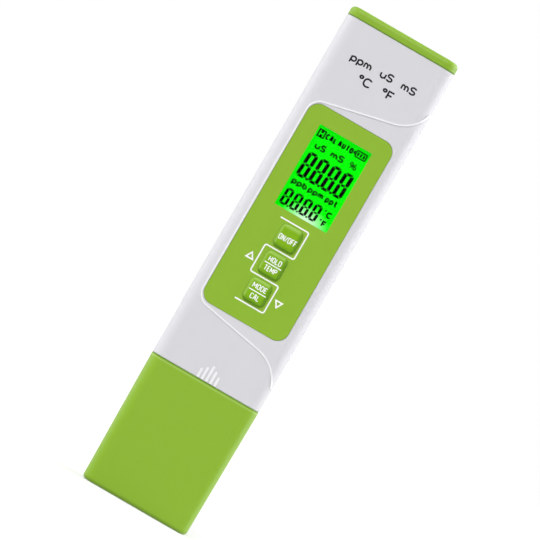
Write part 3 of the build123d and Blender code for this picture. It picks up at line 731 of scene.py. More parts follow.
@dataclass(frozen=True)
class LitGlass(Finish):
    """Display glass lit from behind, with a pale glow where the lamp stands.

    Attributes:
        glow: X and Z of the glow's middle, in metres.
        reach: Width and height over which the glow fades, in metres.
        strength: Strength of the light.
    """

    glow: Point = (0.0, 0.0)
    reach: Point = (0.0075, 0.0046)
    strength: float = 0.72

    def mix(self, recipe: Recipe) -> None:
        """Adds what makes this finish.

        Args:
            recipe: Material in the making.
        """
        x, _, z = recipe.axes()
        steps = [
            recipe.math("DIVIDE", recipe.math("SUBTRACT", axis, middle), reach)
            for axis, middle, reach in zip((x, z), self.glow, self.reach)
        ]
        glow = recipe.spread(recipe.length(*steps), (0.0, 1.0), (1.15, 0.0), smooth=True)
        grain = recipe.noise(0.3 * MM, 1.0)
        base = recipe.tint(grain, shaded(self.colour, 0.97), self.colour)
        recipe.put("Base Color", recipe.tint(grain, shaded(self.colour, 0.55), shaded(self.colour, 0.6)))
        recipe.put("Roughness", recipe.spread(grain, (0.3, self.roughness), (0.7, self.roughness + 0.1)))
        recipe.put("Emission Color", recipe.tint(glow, base, (1.0, 1.0, 1.0)))
        recipe.put("Emission Strength", self.strength)
        recipe.put("Specular IOR Level", 0.0)


@dataclass(frozen=True)
class DottedGuide(Finish):
    """Milky light guide with the printed dots that let the light out.

    Attributes:
        dot: Colour of the dots.
        strength: Strength of the light that leaves it.
    """

    dot: Colour = (0.95, 1.0, 0.95)
    strength: float = 0.35

    def mix(self, recipe: Recipe) -> None:
        """Adds what makes this finish.

        Args:
            recipe: Material in the making.
        """
        dots = recipe.spread(recipe.dots(0.6 * MM, 0.0), (0.25, 1.0), (0.32, 0.0))
        recipe.put("Base Color", recipe.tint(dots, self.colour, self.dot))
        recipe.put("Emission Color", recipe.tint(dots, self.colour, self.dot))
        recipe.put("Emission Strength", self.strength)
        recipe.put("Roughness", recipe.spread(dots, (0.0, self.roughness), (1.0, 0.7)))
        recipe.put("Normal", recipe.relief(dots, 4e-6))


@dataclass(frozen=True)
class StripedRubber(Finish):
    """Connector strip of thin black and pale layers stacked along X.

    Attributes:
        pale: Colour of the layers that don't conduct.
        pitch: Thickness of one pair of layers, in metres.
    """

    pale: Colour = (0.62, 0.45, 0.42)
    pitch: float = 0.0003

    def mix(self, recipe: Recipe) -> None:
        """Adds what makes this finish.

        Args:
            recipe: Material in the making.
        """
        x, y, z = recipe.axes()
        wave = recipe.math("PINGPONG", recipe.math("DIVIDE", x, self.pitch), 0.5)
        layer = recipe.math("GREATER_THAN", wave, 0.25)
        soft = recipe.noise(0.8 * MM, 3.0)
        pale = recipe.tint(soft, shaded(self.pale, 0.85), shaded(self.pale, 1.1))
        recipe.put("Base Color", recipe.tint(layer, self.colour, pale))
        recipe.put("Roughness", recipe.spread(soft, (0.2, self.roughness), (0.8, self.roughness + 0.2)))
        recipe.put("Normal", recipe.relief(layer, 3e-6))


@dataclass(frozen=True)
class Graphite(Finish):
    """Turned graphite rod: dark, faintly metallic, with rings from the lathe.

    Attributes:
        ring: Distance from ring to ring, in metres.
    """

    ring: float = 0.00025

    def mix(self, recipe: Recipe) -> None:
        """Adds what makes this finish.

        Args:
            recipe: Material in the making.
        """
        z = recipe.axes()[2]
        rings = recipe.math("PINGPONG", recipe.math("DIVIDE", z, self.ring), 0.5)
        flakes = recipe.noise(0.18 * MM, 4.0)
        bright = recipe.spread(flakes, (0.55, 0.0), (0.8, 1.0))
        recipe.put("Base Color", recipe.tint(bright, self.colour, shaded(self.colour, 4.0)))
        recipe.put("Metallic", 0.35)
        recipe.put("Roughness", recipe.spread(flakes, (0.3, self.roughness), (0.7, self.roughness + 0.25)))
        rise = recipe.math("ADD", recipe.math("MULTIPLY", rings, 0.5), recipe.math("MULTIPLY", flakes, 0.5))
        recipe.put("Normal", recipe.relief(rise, 6e-6))


@dataclass(frozen=True)
class CastResin(Finish):
    """Poured epoxy: glossy and deep, with a few small bubbles under the skin.

    Attributes:
        bubble: Mean distance between bubbles, in metres.
    """

    bubble: float = 0.0012

    def mix(self, recipe: Recipe) -> None:
        """Adds what makes this finish.

        Args:
            recipe: Material in the making.
        """
        pits = recipe.spread(recipe.dots(self.bubble), (0.1, 1.0), (0.2, 0.0), smooth=True)
        depth = recipe.noise(2.0 * MM, 3.0)
        deep = recipe.tint(depth, shaded(self.colour, 0.6), shaded(self.colour, 1.6))
        recipe.put("Base Color", recipe.tint(pits, deep, shaded(self.colour, 3.0)))
        recipe.put("Roughness", recipe.spread(depth, (0.3, self.roughness), (0.7, self.roughness * 2)))
        recipe.put("Coat Weight", 0.5)
        recipe.put("Coat Roughness", 0.05)
        recipe.put("Normal", recipe.relief(pits, 2e-5))


@dataclass(frozen=True)
class Ink(Finish):
    """Screen-printed ink, a little uneven in cover.

    Attributes:
        cover: Relative change of brightness over the print.
        specular: Specular level of the ink.
    """

    cover: float = 0.04
    specular: float = 0.2

    def mix(self, recipe: Recipe) -> None:
        """Adds what makes this finish.

        Args:
            recipe: Material in the making.
        """
        mesh = recipe.noise(0.25 * MM, 2.0)
        low, high = shaded(self.colour, 1.0 - self.cover), shaded(self.colour, 1.0 + self.cover)
        recipe.put("Base Color", recipe.tint(mesh, low, high))
        recipe.put("Roughness", recipe.spread(mesh, (0.3, self.roughness), (0.7, self.roughness + 0.1)))
        recipe.put("Specular IOR Level", self.specular)
        recipe.put("Normal", recipe.relief(mesh, 1.5e-6))


SHELL_COLOUR: Colour = (0.648, 0.642, 0.676)
GREEN: Colour = (0.233, 0.428, 0.0078)
# Colours of painted shade and painted highlight along the green parts' seams and edges.
SHADE_GREEN: Colour = (0.11, 0.25, 0.008)
HIGHLIGHT_GREEN: Colour = (0.42, 0.62, 0.15)
CAP_TOP = 0.0445
BODY_TOP = 0.16505

# Darker lines laid on the shell: painted shade in the grooves at the lid and cap seams, and a dark line
# along the shells' parting seam.
SHELL_BANDS = (
    Band(BODY_TOP, 0.00015, (0.36, 0.4, 0.28), 0.7),
    Band(CAP_TOP, 0.00015, (0.36, 0.4, 0.28), 0.7),
    Band(0.0, 0.00006, (0.28, 0.28, 0.3), 0.9, axis=1),
)
# Painted highlight: a lighter line just below the cap's top edge. Painted shade: a darker line at that
# edge.
CAP_SHADE_AND_HIGHLIGHT_BANDS = (
    Band(CAP_TOP - 0.00075, 0.00022, HIGHLIGHT_GREEN, 0.5),
    Band(CAP_TOP, 0.0004, SHADE_GREEN, 0.7),
)
# Painted shade: a darker line along the lid's bottom edge, at the seam with the shell.
LID_SHADE_BANDS = (Band(BODY_TOP, 0.0004, SHADE_GREEN, 0.7),)
SHELL_GREY = MouldedPlastic("shell_grey", SHELL_COLOUR, 0.42, clouds=0.008, bands=SHELL_BANDS)
# The front shell's raised line and bars carry a painted highlight.
SHELL_RIDGE_HIGHLIGHT = RidgeHighlightPlastic("shell_grey_painted_highlight_line", SHELL_COLOUR, 0.42, clouds=0.008, bands=SHELL_BANDS)
CAP_GREEN = MouldedPlastic("cap_apple_green", GREEN, 0.34, clouds=0.008, grain_size=0.0008, bands=CAP_SHADE_AND_HIGHLIGHT_BANDS)
LID_GREEN = MouldedPlastic(
    "lid_apple_green", shaded(GREEN, 0.93), 0.45, clouds=0.008, grain_size=0.0008, bands=LID_SHADE_BANDS
)
GREEN_FILM = MouldedPlastic("green_printed_film", GREEN, 0.45, grain_size=0.0003, clouds=0.008)
# A lighter copy of the green: painted light that fills the gap round each key, where shade would fall.
KEY_GAP_PAINTED_LIGHT = MouldedPlastic("key_gap_fill_painted_light", shaded(GREEN, 1.1), 0.5, clouds=0.02)
MOULDED_BLACK = MouldedPlastic("moulded_black", (0.03, 0.03, 0.032), 0.5, clouds=0.1)
NATURAL_NYLON = MouldedPlastic("natural_nylon", (0.74, 0.72, 0.66), 0.45, clouds=0.04)
PROBE_GREY = MouldedPlastic("probe_dark_grey", (0.085, 0.086, 0.092), 0.48, clouds=0.08)
SEAL_RUBBER = MouldedPlastic("nitrile_seal", (0.022, 0.022, 0.023), 0.6, clouds=0.15, specular=0.4)
STEEL = BrushedMetal("stainless_steel", (0.44, 0.43, 0.42), 0.3, stretch=(1.0, 30.0, 1.0))
SHEATH_STEEL = BrushedMetal("drawn_steel_sheath", (0.46, 0.45, 0.44), 0.25, stretch=(1.0, 1.0, 30.0))
NICKEL = BrushedMetal("nickel_plate", (0.5, 0.475, 0.42), 0.28, stretch=(1.0, 1.0, 30.0))
CRYSTAL_CAN = BrushedMetal("crystal_can", (0.5, 0.49, 0.47), 0.2)
WHITE_INK = Ink("white_ink", (0.93, 0.93, 0.93), 0.5, cover=0.02)
BLACK_INK = Ink("black_ink", (0.012, 0.012, 0.013), 0.5)
SEGMENT_BLACK = Ink("display_segment_black", (0.001, 0.0006, 0.001), 0.6, specular=0.0)


def dress(finish: Finish, *nodes: str) -> None:
    """Gives CAD nodes a finish.

    Args:
        finish: The finish.
        nodes: Names of the nodes.
    """
    for node in nodes:
        for place in FRAME["nodes"][node].material_slots:
            place.material = material_of(finish)
        LOG.info("dressed %s in %s", node, finish.name)


def shaped_mesh(item: bpy.types.Object) -> bpy.types.Mesh:
    """Takes the mesh of an object as its modifiers leave it, and removes the object.

    Args:
        item: Object that isn't in the scene yet.

    Returns:
        The finished mesh.
    """
    bpy.context.scene.collection.objects.link(item)
    bpy.context.view_layer.update()
    graph = bpy.context.evaluated_depsgraph_get()
    mesh = bpy.data.meshes.new_from_object(item.evaluated_get(graph))
    bpy.data.objects.remove(item)
    return mesh


BEND_STEPS = 6
LEVEL = 0.002
BASELINE = 2
CAPITAL = 6
ROUND = 3
SPACE = 8
LETTER_GAP = 0.07

# Strokes of each letter, as points on a grid: the first digit of a pair is how far right it
# lies, the second how high, with the baseline at 2 and the top of a capital at 8. A stroke
# that starts with ~ has rounded bends, and one that ends where it starts is closed.
GLYPHS = {
    " ": "",
    "%": "~05 35 38 08 05, ~52 82 85 55 52, 12 78",
    "/": "02 48",
    "0": "~02 62 68 08 02",
    "1": "06 28 22",
    "2": "~07 08 68 65 02, 02 62",
    "3": "~08 68 65 25, ~25 65 62 02",
    "4": "52 58 04 64",
    "5": "68 08 05, ~05 65 62 02",
    "6": "~68 08 02 62 65 05",
    "7": "08 68 22",
    "8": "~05 65 68 08 05, ~02 62 65 05 02",
    "9": "~02 62 68 08 05 65",
    "A": "02 28 48 62, 14 54",
    "C": "~67 68 08 02 62 63",
    "D": "02 08, ~08 68 62 02",
    "E": "58 08 02 52, 05 45",
    "F": "58 08 02, 05 45",
    "H": "02 08, 62 68, 05 65",
    "J": "~58 52 02 03",
    "L": "08 02 52",
    "M": "02 08, 82 88, 08 44 88",
    "N": "02 08, 62 68, 08 62",
    "O": "~02 62 68 08 02",
    "P": "02 08, ~08 68 65 05",
    "R": "02 08, ~08 68 65 05, 35 62",
    "S": "~67 68 08 05 65 62 02 03",
    "T": "08 68, 38 32",
    "U": "~08 02 62 68",
    "Y": "08 35 68, 35 32",
    "b": "02 08, ~02 62 66 06 02",
    "m": "02 06, ~06 46 42, ~46 86 82",
    "p": "00 06, ~02 62 66 06 02",
    "t": "~28 22 62, 06 56",
    "u": "~06 02 62 66, 66 62",
    "°": "~06 36 38 08 06",
}


@dataclass(frozen=True)
class Stroke:
    """Path of one line of a drawing.

    Attributes:
        path: Points along its middle.
        radius: Radius that its bends are rounded to, as far as the sides allow.
        closed: Whether it runs back to its first point.
    """

    path: list[Point]
    radius: float = 0.0
    closed: bool = False

    def bend(self, index: int) -> list[Vector]:
        """Rounds one bend with a quarter of an ellipse.

        Args:
            index: Which point of the path it is.

        Returns:
            Points along the bend.
        """
        corner = Vector(self.path[index])
        last = len(self.path) - 1
        ends = []
        for step in (-1, 1):
            beside = (index + step) % len(self.path)
            side = Vector(self.path[beside]) - corner
            free = not self.closed and beside in (0, last)
            ends.append(corner + side.normalized() * min(self.radius, side.length * (1.0 if free else 0.5)))
        points = []
        for turn in range(BEND_STEPS + 1):
            share = turn / BEND_STEPS
            weights = ((1.0 - share) ** 2, math.sqrt(2.0) * share * (1.0 - share), share**2)
            blend = ends[0] * weights[0] + corner * weights[1] + ends[1] * weights[2]
            points.append(blend / sum(weights))
        return points

    def points(self) -> list[Vector]:
        """Rounds the bends of the path.

        Returns:
            Points along the rounded path.
        """
        result = []
        for index, point in enumerate(self.path):
            free = not self.closed and index in (0, len(self.path) - 1)
            places = [Vector(point)] if free or not self.radius else self.bend(index)
            result += [place for place in places if not result or (place - result[-1]).length > LEVEL]
        if self.closed and (result[0] - result[-1]).length < LEVEL:
            result.pop()
        return result


@dataclass(frozen=True)
class Caption:
    """Text with the place and size that it is fitted to.

    Attributes:
        text: What it says.
        middle: Middle of its width, and of the height of its capitals.
        width: Width from edge to edge.
        height: Height of a capital from edge to edge.
    """

    text: str
    middle: Point
    width: float
    height: float


def lettering(caption: Caption, pen: float) -> list[Stroke]:
    """Returns the strokes of a caption.

    Args:
        caption: The caption.
        pen: Width of a stroke.

    Returns:
        The strokes.
    """
    glyphs = [
        [stroke.split() for stroke in GLYPHS[letter].split(", ") if stroke] for letter in caption.text
    ]
    widths = [max((int(pair[-2]) for path in glyph for pair in path), default=SPACE) for glyph in glyphs]
    gap = pen + caption.height * LETTER_GAP
    across = (caption.width - pen - gap * (len(glyphs) - 1)) / sum(widths)
    up = (caption.height - pen) / CAPITAL
    left = caption.middle[0] - (caption.width - pen) / 2
    base = caption.middle[1] - (caption.height - pen) / 2
    strokes = []
    for glyph, units in zip(glyphs, widths):
        for pairs in glyph:
            places = [(int(pair[-2]), int(pair[-1]) - BASELINE) for pair in pairs]
            path = [(left + right * across, base + rise * up) for right, rise in places]
            closed = path[0] == path[-1]
            radius = across * ROUND if pairs[0].startswith("~") else 0.0
            strokes.append(Stroke(path[:-1] if closed else path, radius, closed))
        left += units * across + gap
    return strokes


class Print:
    """Thin marks on one flat face, drawn in millimetres and made into one piece.

    On the front a drawing's first coordinate is X and its second is Z. On the back the
    first coordinate is -X, so that lettering reads the right way round from behind.
    """

    def __init__(
        self,
        name: str,
        plane: float,
        rise: float = 0.015,
        sunk: float = 0.05,
        side: Facing = Facing.FRONT,
    ) -> None:
        """Starts an empty print.

        Args:
            name: Name of the finished piece.
            plane: Y of the face that carries it, in millimetres.
            rise: How far it stands proud, in millimetres.
            sunk: How far it reaches below the face.
            side: Side that the face looks to.
        """
        self.name = name
        self.plane = plane
        self.rise = rise
        self.sunk = sunk
        self.side = side
        self.shape = bmesh.new()

    def area(self, corners: list[Point], radius: float = 0.0) -> None:
        """Adds a filled shape.

        Args:
            corners: Its corners in order.
            radius: Radius that its corners are rounded to.
        """
        outline = [self.shape.verts.new((u, v, -self.sunk)) for u, v in corners]
        grown = bmesh.ops.extrude_face_region(self.shape, geom=[self.shape.faces.new(outline)])
        top = [part for part in grown["geom"] if isinstance(part, bmesh.types.BMVert)]
        bmesh.ops.translate(self.shape, verts=top, vec=(0.0, 0.0, self.rise + self.sunk))
        if radius:
            pairs = {frozenset((low, high)) for low in outline for high in top}
            posts = [edge for low in outline for edge in low.link_edges if frozenset(edge.verts) in pairs]
            bmesh.ops.bevel(
                self.shape,
                geom=posts,
                offset=radius,
                segments=4,
                profile=0.5,
                affect="EDGES",
                material=-1,
            )

    def bar(self, middle: Point, width: float, height: float, radius: float = 0.0) -> None:
        """Adds an upright rectangle.

        Args:
            middle: Middle of the rectangle.
            width: Its width.
            height: Its height.
            radius: Radius of its corners.
        """
        left, right = middle[0] - width / 2, middle[0] + width / 2
        low, high = middle[1] - height / 2, middle[1] + height / 2
        self.area([(left, low), (right, low), (right, high), (left, high)], radius)

    def disc(self, middle: Point, diameter: float) -> None:
        """Adds a filled circle.

        Args:
            middle: Middle of the circle.
            diameter: Its diameter.
        """
        depth = self.rise + self.sunk
        place = Matrix.Translation((*middle, self.rise - depth / 2))
        bmesh.ops.create_cone(
            self.shape,
            cap_ends=True,
            segments=20,
            radius1=diameter / 2,
            radius2=diameter / 2,
            depth=depth,
            matrix=place,
        )

    def lines(self, strokes: list[Stroke], width: float) -> None:
        """Adds lines of even width, each a trifle higher or lower than the one before it.

        Args:
            strokes: Paths of the lines.
            width: Width of a line.
        """
        ribbon = bmesh.new()
        for count, stroke in enumerate(strokes):
            points = [ribbon.verts.new((*point, -self.sunk)) for point in stroke.points()]
            following = points[1:] + points[:1] if stroke.closed else points[1:]
            edges = [ribbon.edges.new(pair) for pair in zip(points, following)]
            grown = bmesh.ops.extrude_edge_only(ribbon, edges=edges)
            top = [part for part in grown["geom"] if isinstance(part, bmesh.types.BMVert)]
            rise = self.rise + self.sunk + (count % 3) * LEVEL
            bmesh.ops.translate(ribbon, verts=top, vec=(0.0, 0.0, rise))
        bmesh.ops.recalc_face_normals(ribbon, faces=ribbon.faces[:])
        mesh = bpy.data.meshes.new("ribbon")
        ribbon.to_mesh(mesh)
        ribbon.free()
        item = bpy.data.objects.new("ribbon", mesh)
        wall = item.modifiers.new("width", "SOLIDIFY")
        wall.thickness = width
        wall.offset = 0.0
        wall.use_even_offset = True
        self.shape.from_mesh(shaped_mesh(item))

    def words(self, caption: Caption, pen: float) -> None:
        """Adds a caption, drawn in strokes as wide as the pen."""
        self.lines(lettering(caption, pen), pen)

    def piece(self, finish: Finish, body: str) -> bpy.types.Object:
        """Ends the drawing and makes it a piece of the scene.

        Args:
            finish: Its finish.
            body: CAD body that it moves with.

        Returns:
            The finished piece.
        """
        bmesh.ops.recalc_face_normals(self.shape, faces=self.shape.faces[:])
        place = Matrix.Translation((0.0, self.plane * MM, 0.0))
        grow = Matrix.Scale(MM, 4)
        matrix = place @ self.side.turn() @ grow
        bmesh.ops.transform(self.shape, matrix=matrix, verts=self.shape.verts[:])
        mesh = bpy.data.meshes.new(self.name)
        self.shape.to_mesh(mesh)
        self.shape.free()
        item = bpy.data.objects.new(self.name, mesh)
        bpy.context.scene.collection.objects.link(item)
        mesh.materials.append(material_of(finish))
        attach(item, body)
        LOG.info("made %s with %d faces", self.name, len(mesh.polygons))
        return item


@dataclass
class Housing:
    """Both half shells and the units printed above the panel.

    Attributes:
        face: Y of the flat front, in millimetres.
        first_line: Middle height of the upper line of units.
        second_line: Middle height of the lower line.
    """

    face: float = -9.25
    first_line: float = 154.1
    second_line: float = 149.3

    def build(self) -> None:
        """Dresses the shells and prints the units."""
        dress(SHELL_RIDGE_HIGHLIGHT, "front_shell")
        dress(SHELL_GREY, "rear_shell")
        dress(STEEL, "neck_screws")
        units = Print("unit_marks", self.face)
        units.words(Caption("ppm uS mS", (0.0, self.first_line), 23.0, 2.7), 0.54)
        units.words(Caption("°C °F", (0.0, self.second_line), 12.5, 3.0), 0.56)
        units.piece(BLACK_INK, "tester")


@dataclass
class Panel:
    """Green printed panel with its window, white lines and arrow outlines.

    Attributes:
        face: Y of the panel's face, in millimetres.
        stroke: Width of the white line.
        bend: Radius of the line's bends.
        arrow: Width and height of an arrow outline, along the middle of its stroke.
    """

    face: float = -9.15
    stroke: float = 0.46
    bend: float = 0.62
    arrow: Point = (2.3, 1.95)
    track: list[Point] = field(
        default_factory=lambda: [
            (-5.47, 100.25),
            (4.65, 100.25),
            (4.65, 90.75),
            (-5.35, 90.75),
            (-5.35, 81.25),
            (4.8, 81.25),
            (4.8, 71.75),
            (-5.3, 71.75),
        ]
    )

    def build(self) -> None:
        """Dresses the panel and window, and prints the white marks."""
        dress(GREEN_FILM, "keypad_overlay")
        dress(ClearSheet("clear_acrylic", (0.02, 0.05, 0.02), 0.04), "display_window")
        marks = Print("panel_print", self.face, rise=0.02)
        marks.lines([Stroke(self.track, self.bend)], self.stroke)
        width, height = self.arrow
        for x, z, way in ((-7.57, 84.5, 1.0), (7.32, 77.25, -1.0)):
            tips = [(x - width / 2, z), (x + width / 2, z), (x, z + way * height)]
            marks.lines([Stroke(tips, closed=True)], self.stroke)
        marks.piece(WHITE_INK, "tester")


KEY_CAPTIONS = {
    "power": (Caption("ON/OFF", (0.0, 95.1), 6.2, 1.95),),
    "hold": (Caption("HOLD", (0.0, 87.5), 4.43, 1.8), Caption("TEMP", (0.0, 84.5), 4.43, 1.8)),
    "mode": (Caption("MODE", (0.0, 78.1), 4.95, 1.8), Caption("CAL", (0.0, 74.8), 3.2, 1.8)),
}


@dataclass
class Keys:
    """Three keys, their legends and the switches behind them.

    Attributes:
        face: Y of a key's flat top, in millimetres.
        heights: Middle height of each key.
        rule: Width and thickness of the line between two words.
        rule_heights: Height of that line on each key that has one.
        size: Width and height of a key.
        corner: Radius of a key's corners.
        opening: Gap between a key and the edge of its opening.
        pen: Width of the lettering's strokes.
    """

    face: float = -10.05
    heights: tuple[float, float, float] = (95.5, 86.0, 76.5)
    rule: Point = (5.9, 0.33)
    size: Point = (7.4, 7.8)
    corner: float = 1.6
    opening: float = 0.15
    pen: float = 0.28
    rule_heights: dict[str, float] = field(default_factory=lambda: {"hold": 86.0, "mode": 76.45})

    def skirt(self, skirts: Print, height: float) -> None:
        """Draws the thin skirt that fills the gap round a key in a lighter green, painted light in place of
        the shade in that gap.

        Args:
            skirts: Drawing of the skirts.
            height: Middle height of the key.
        """
        width = self.opening - 0.04
        away = self.opening - width / 2 - 0.005
        x, z = self.size[0] / 2 + away, self.size[1] / 2 + away
        path = [(-x, height - z), (x, height - z), (x, height + z), (-x, height + z)]
        skirts.lines([Stroke(path, self.corner + away, closed=True)], width)

    def build(self) -> None:
        """Dresses the keys and switches, and prints the legends."""
        for name, height in zip(("power", "hold", "mode"), self.heights):
            # Each key's finish paints a highlight at its top and left edges and shade at its bottom and
            # right edges.
            finish = KeyPaintedShading(
                f"{name}_key_painted_shading",
                (0.205, 0.425, 0.003),
                0.42,
                grain_size=0.0015,
                specular=0.2,
                height=height * MM,
            )
            dress(finish, f"{name}_key")
            dress(MOULDED_BLACK, f"{name}_switch_body")
            dress(NATURAL_NYLON, f"{name}_switch_plunger")
        skirts = Print("key_skirts", -9.15, rise=-0.01, sunk=0.3)
        for height in self.heights:
            self.skirt(skirts, height)
        skirts.piece(KEY_GAP_PAINTED_LIGHT, "tester")
        for name, captions in KEY_CAPTIONS.items():
            legend = Print(f"{name}_legend", self.face, rise=0.012)
            for caption in captions:
                legend.words(caption, self.pen)
            if name in self.rule_heights:
                legend.bar((0.0, self.rule_heights[name]), *self.rule)
            legend.piece(WHITE_INK, f"{name}_button")


@dataclass
class Digits:
    """One row of four slanted seven-segment figures.

    Attributes:
        first: Left edge and base of the first figure, from the window's top left corner.
        pitch: Distance from figure to figure.
        width: Width of a figure.
        height: Height of a figure.
        stroke: Thickness of a segment.
        gap: Gap between segments.
        point: Diameter of a decimal point.
        slant: Lean of the figures, as sideways shift over height.
    """

    first: Point
    pitch: float
    width: float
    height: float
    stroke: float
    gap: float
    point: float
    slant: float = 0.055

    def segments(self) -> list[list[Point]]:
        """Draws one figure from its lower left corner.

        Returns:
            Outlines of the seven segments.
        """
        w, h, s, g = self.width, self.height, self.stroke, self.gap
        depth = s * 0.75
        top = [(s * 0.42, h), (w - s * 0.42, h), (w - s * 0.95, h - depth), (s * 0.95, h - depth)]
        half = h / 2
        post = [
            (0.0, half + s * 0.3),
            (s * 0.5, half + g * 0.6),
            (s, half + s * 0.4),
            (s, h - depth - g * 1.1),
            (s * 0.36, h - depth * 0.3 - g),
            (0.0, h - s * 0.65),
        ]
        thin = s * 0.3
        middle = [
            (s * 0.75, half),
            (s * 1.1, half + thin),
            (w - s * 1.1, half + thin),
            (w - s * 0.75, half),
            (w - s * 1.1, half - thin),
            (s * 1.1, half - thin),
        ]
        shapes = [middle]
        for flip in (False, True):
            shapes.append([(x, h - z if flip else z) for x, z in top])
            for mirror in (False, True):
                shapes.append([(w - x if mirror else x, h - z if flip else z) for x, z in post])
        return shapes

    def draw(self, marks: Print, corner: Point) -> None:
        """Draws the row.

        Args:
            marks: Print to draw on.
            corner: X and Z of the window's top left corner, in millimetres.
        """
        left, base = corner[0] + self.first[0], corner[1] - self.first[1]
        for place in range(4):
            start = left + place * self.pitch
            for shape in self.segments():
                marks.area([(start + x + z * self.slant, base + z) for x, z in shape])
            if place < 3:
                dot = start + self.pitch - (self.pitch - self.width) / 2 + self.point * 0.1
                marks.disc((dot, base + self.point / 2), self.point)


# What the display says. A middle is measured right and down from the window's top left corner.
DISPLAY_CAPTIONS = (
    Caption("CAL", (5.2, 2.2), 3.9, 1.9),
    Caption("AUTO", (10.3, 2.2), 5.3, 1.9),
    Caption("uS", (3.6, 6.1), 3.75, 2.25),
    Caption("mS", (9.6, 6.1), 4.6, 2.25),
    Caption("ppb", (3.6, 18.95), 5.3, 2.15),
    Caption("ppm", (9.4, 18.95), 5.4, 2.15),
    Caption("ppt", (15.0, 18.95), 4.3, 2.15),
    Caption("C", (16.4, 23.05), 1.75, 2.05),
    Caption("F", (16.3, 26.2), 1.55, 2.05),
)
PERCENT = Caption("%", (15.2, 6.1), 2.6, 2.25)
LARGE_DIGITS = Digits((0.82, 17.2), 4.24, 3.45, 8.6, 1.24, 0.1, 0.92)
SMALL_DIGITS = Digits((0.7, 27.22), 3.37, 2.68, 5.6, 0.92, 0.06, 0.64)


@dataclass
class Display:
    """Lit display: glass, light guide, connector strip and everything shown on it.

    Attributes:
        corner: X and Z of the window's top left corner, in millimetres.
        face: Y of the front glass's face.
        pen: Width of the lettering's strokes.
    """

    corner: Point = (-9.15, 131.1)
    face: float = -6.15
    pen: float = 0.54

    def spot(self, right: float, down: float) -> Point:
        """Returns the place that lies right of and below the window's top left corner."""
        return self.corner[0] + right, self.corner[1] - down

    def icons(self, marks: Print) -> None:
        """Draws the hold mark and the battery mark.

        Args:
            marks: Print to draw on.
        """
        frame = [self.spot(0.75, 1.12), self.spot(2.82, 1.12), self.spot(2.82, 3.33), self.spot(0.75, 3.33)]
        marks.lines([Stroke(frame, closed=True)], 0.46)
        marks.bar(self.spot(1.79, 1.55), 0.8, 0.9)
        marks.bar(self.spot(1.79, 2.9), 0.8, 0.9)
        case = [self.spot(14.0, 1.1), self.spot(17.5, 1.1), self.spot(17.5, 3.1), self.spot(14.0, 3.1)]
        marks.lines([Stroke(case, 0.3, closed=True)], 0.42)
        marks.bar(self.spot(13.45, 2.1), 0.6, 1.0)
        for place in range(3):
            marks.bar(self.spot(14.75 + place * 1.0, 2.1), 0.6, 1.15)

    def build(self) -> None:
        """Dresses the display module and draws what it shows."""
        dress(MOULDED_BLACK, "lcd_frame")
        glow = tuple(part * MM for part in self.spot(10.6, 28.2))
        dress(LitGlass("display_glass_lit", (0.0, 1.0, 0.0), 0.1, glow=glow), "lcd_front_glass")
        dress(LitGlass("display_glass_rear", (0.0, 0.5, 0.0), 0.1, glow=glow), "lcd_rear_glass")
        dress(DottedGuide("light_guide_dots", (0.5, 0.95, 0.5), 0.4), "backlight_plate")
        dress(DottedGuide("lamp_epoxy", (0.9, 0.95, 0.8), 0.2, strength=1.0), "backlight_led")
        dress(StripedRubber("striped_elastomer", (0.03, 0.03, 0.032), 0.5), "lcd_connector_strip")
        marks = Print("display_marks", self.face, rise=0.03)
        self.icons(marks)
        for caption in DISPLAY_CAPTIONS:
            marks.words(replace(caption, middle=self.spot(*caption.middle)), self.pen)
        marks.words(replace(PERCENT, middle=self.spot(*PERCENT.middle)), self.pen * 0.7)
        LARGE_DIGITS.draw(marks, self.corner)
        SMALL_DIGITS.draw(marks, self.corner)
        for down in (22.25, 25.4):
            marks.disc(self.spot(14.85, down), 0.62)
        marks.piece(SEGMENT_BLACK, "tester")


@dataclass
class Electronics:
    """Circuit board with its chips, plug and the white marks on its back.

    Attributes:
        back: Y of the board's back, in millimetres.
        rows: Heights of the rows of small components.
        columns: Number of components in a row.
        pitch: Distance from component to component.
    """

    back: float = -1.75
    rows: tuple[float, float, float] = (82.15, 94.5, 121.75)
    columns: int = 6
    pitch: float = 3.6

    def build(self) -> None:
        """Dresses the board and what it carries, and prints its marks."""
        dress(PrintedBoard("printed_board", (0.012, 0.14, 0.045), 0.35), "main_board")
        dress(STEEL, "board_screws")
        middle = (0.0, 113.05 * MM)
        dress(ChipPackage("processor_package", (0.02, 0.02, 0.021), 0.5, middle=middle), "processor_chip")
        half = (4.31 * MM, 1.95 * MM)
        amplifier = ChipPackage(
            "amplifier_package", (0.02, 0.02, 0.021), 0.5, middle=(0.0, 76.0 * MM), half=half
        )
        dress(amplifier, "amplifier_chip")
        dress(CRYSTAL_CAN, "crystal")
        rows = tuple(row * MM for row in self.rows)
        dress(ChipCeramic("chip_ceramic", (0.32, 0.22, 0.13), 0.5, rows=rows), "board_components")
        dress(NATURAL_NYLON, "sensor_header", "sensor_plug")
        marks = Print("board_marks", self.back, rise=0.02, side=Facing.BACK)
        count = 0
        for row in self.rows:
            for column in range(self.columns):
                x = (column - (self.columns - 1) / 2) * self.pitch
                count += 1
                label = f"R{count}"
                marks.words(Caption(label, (-x, row + 1.85), 0.6 * len(label), 0.9), 0.13)
        for text, x, z in (("U1", 7.6, 113.0), ("U2", 7.0, 76.0), ("Y1", 8.0, 100.0), ("J1", 9.0, 63.0)):
            marks.words(Caption(text, (x, z), 1.7, 1.3), 0.18)
        marks.piece(WHITE_INK, "tester")


@dataclass
class ProtectiveCap:
    """Green cap over the sensing end."""

    def build(self) -> None:
        """Dresses the cap."""
        dress(CAP_GREEN, "protective_cap")


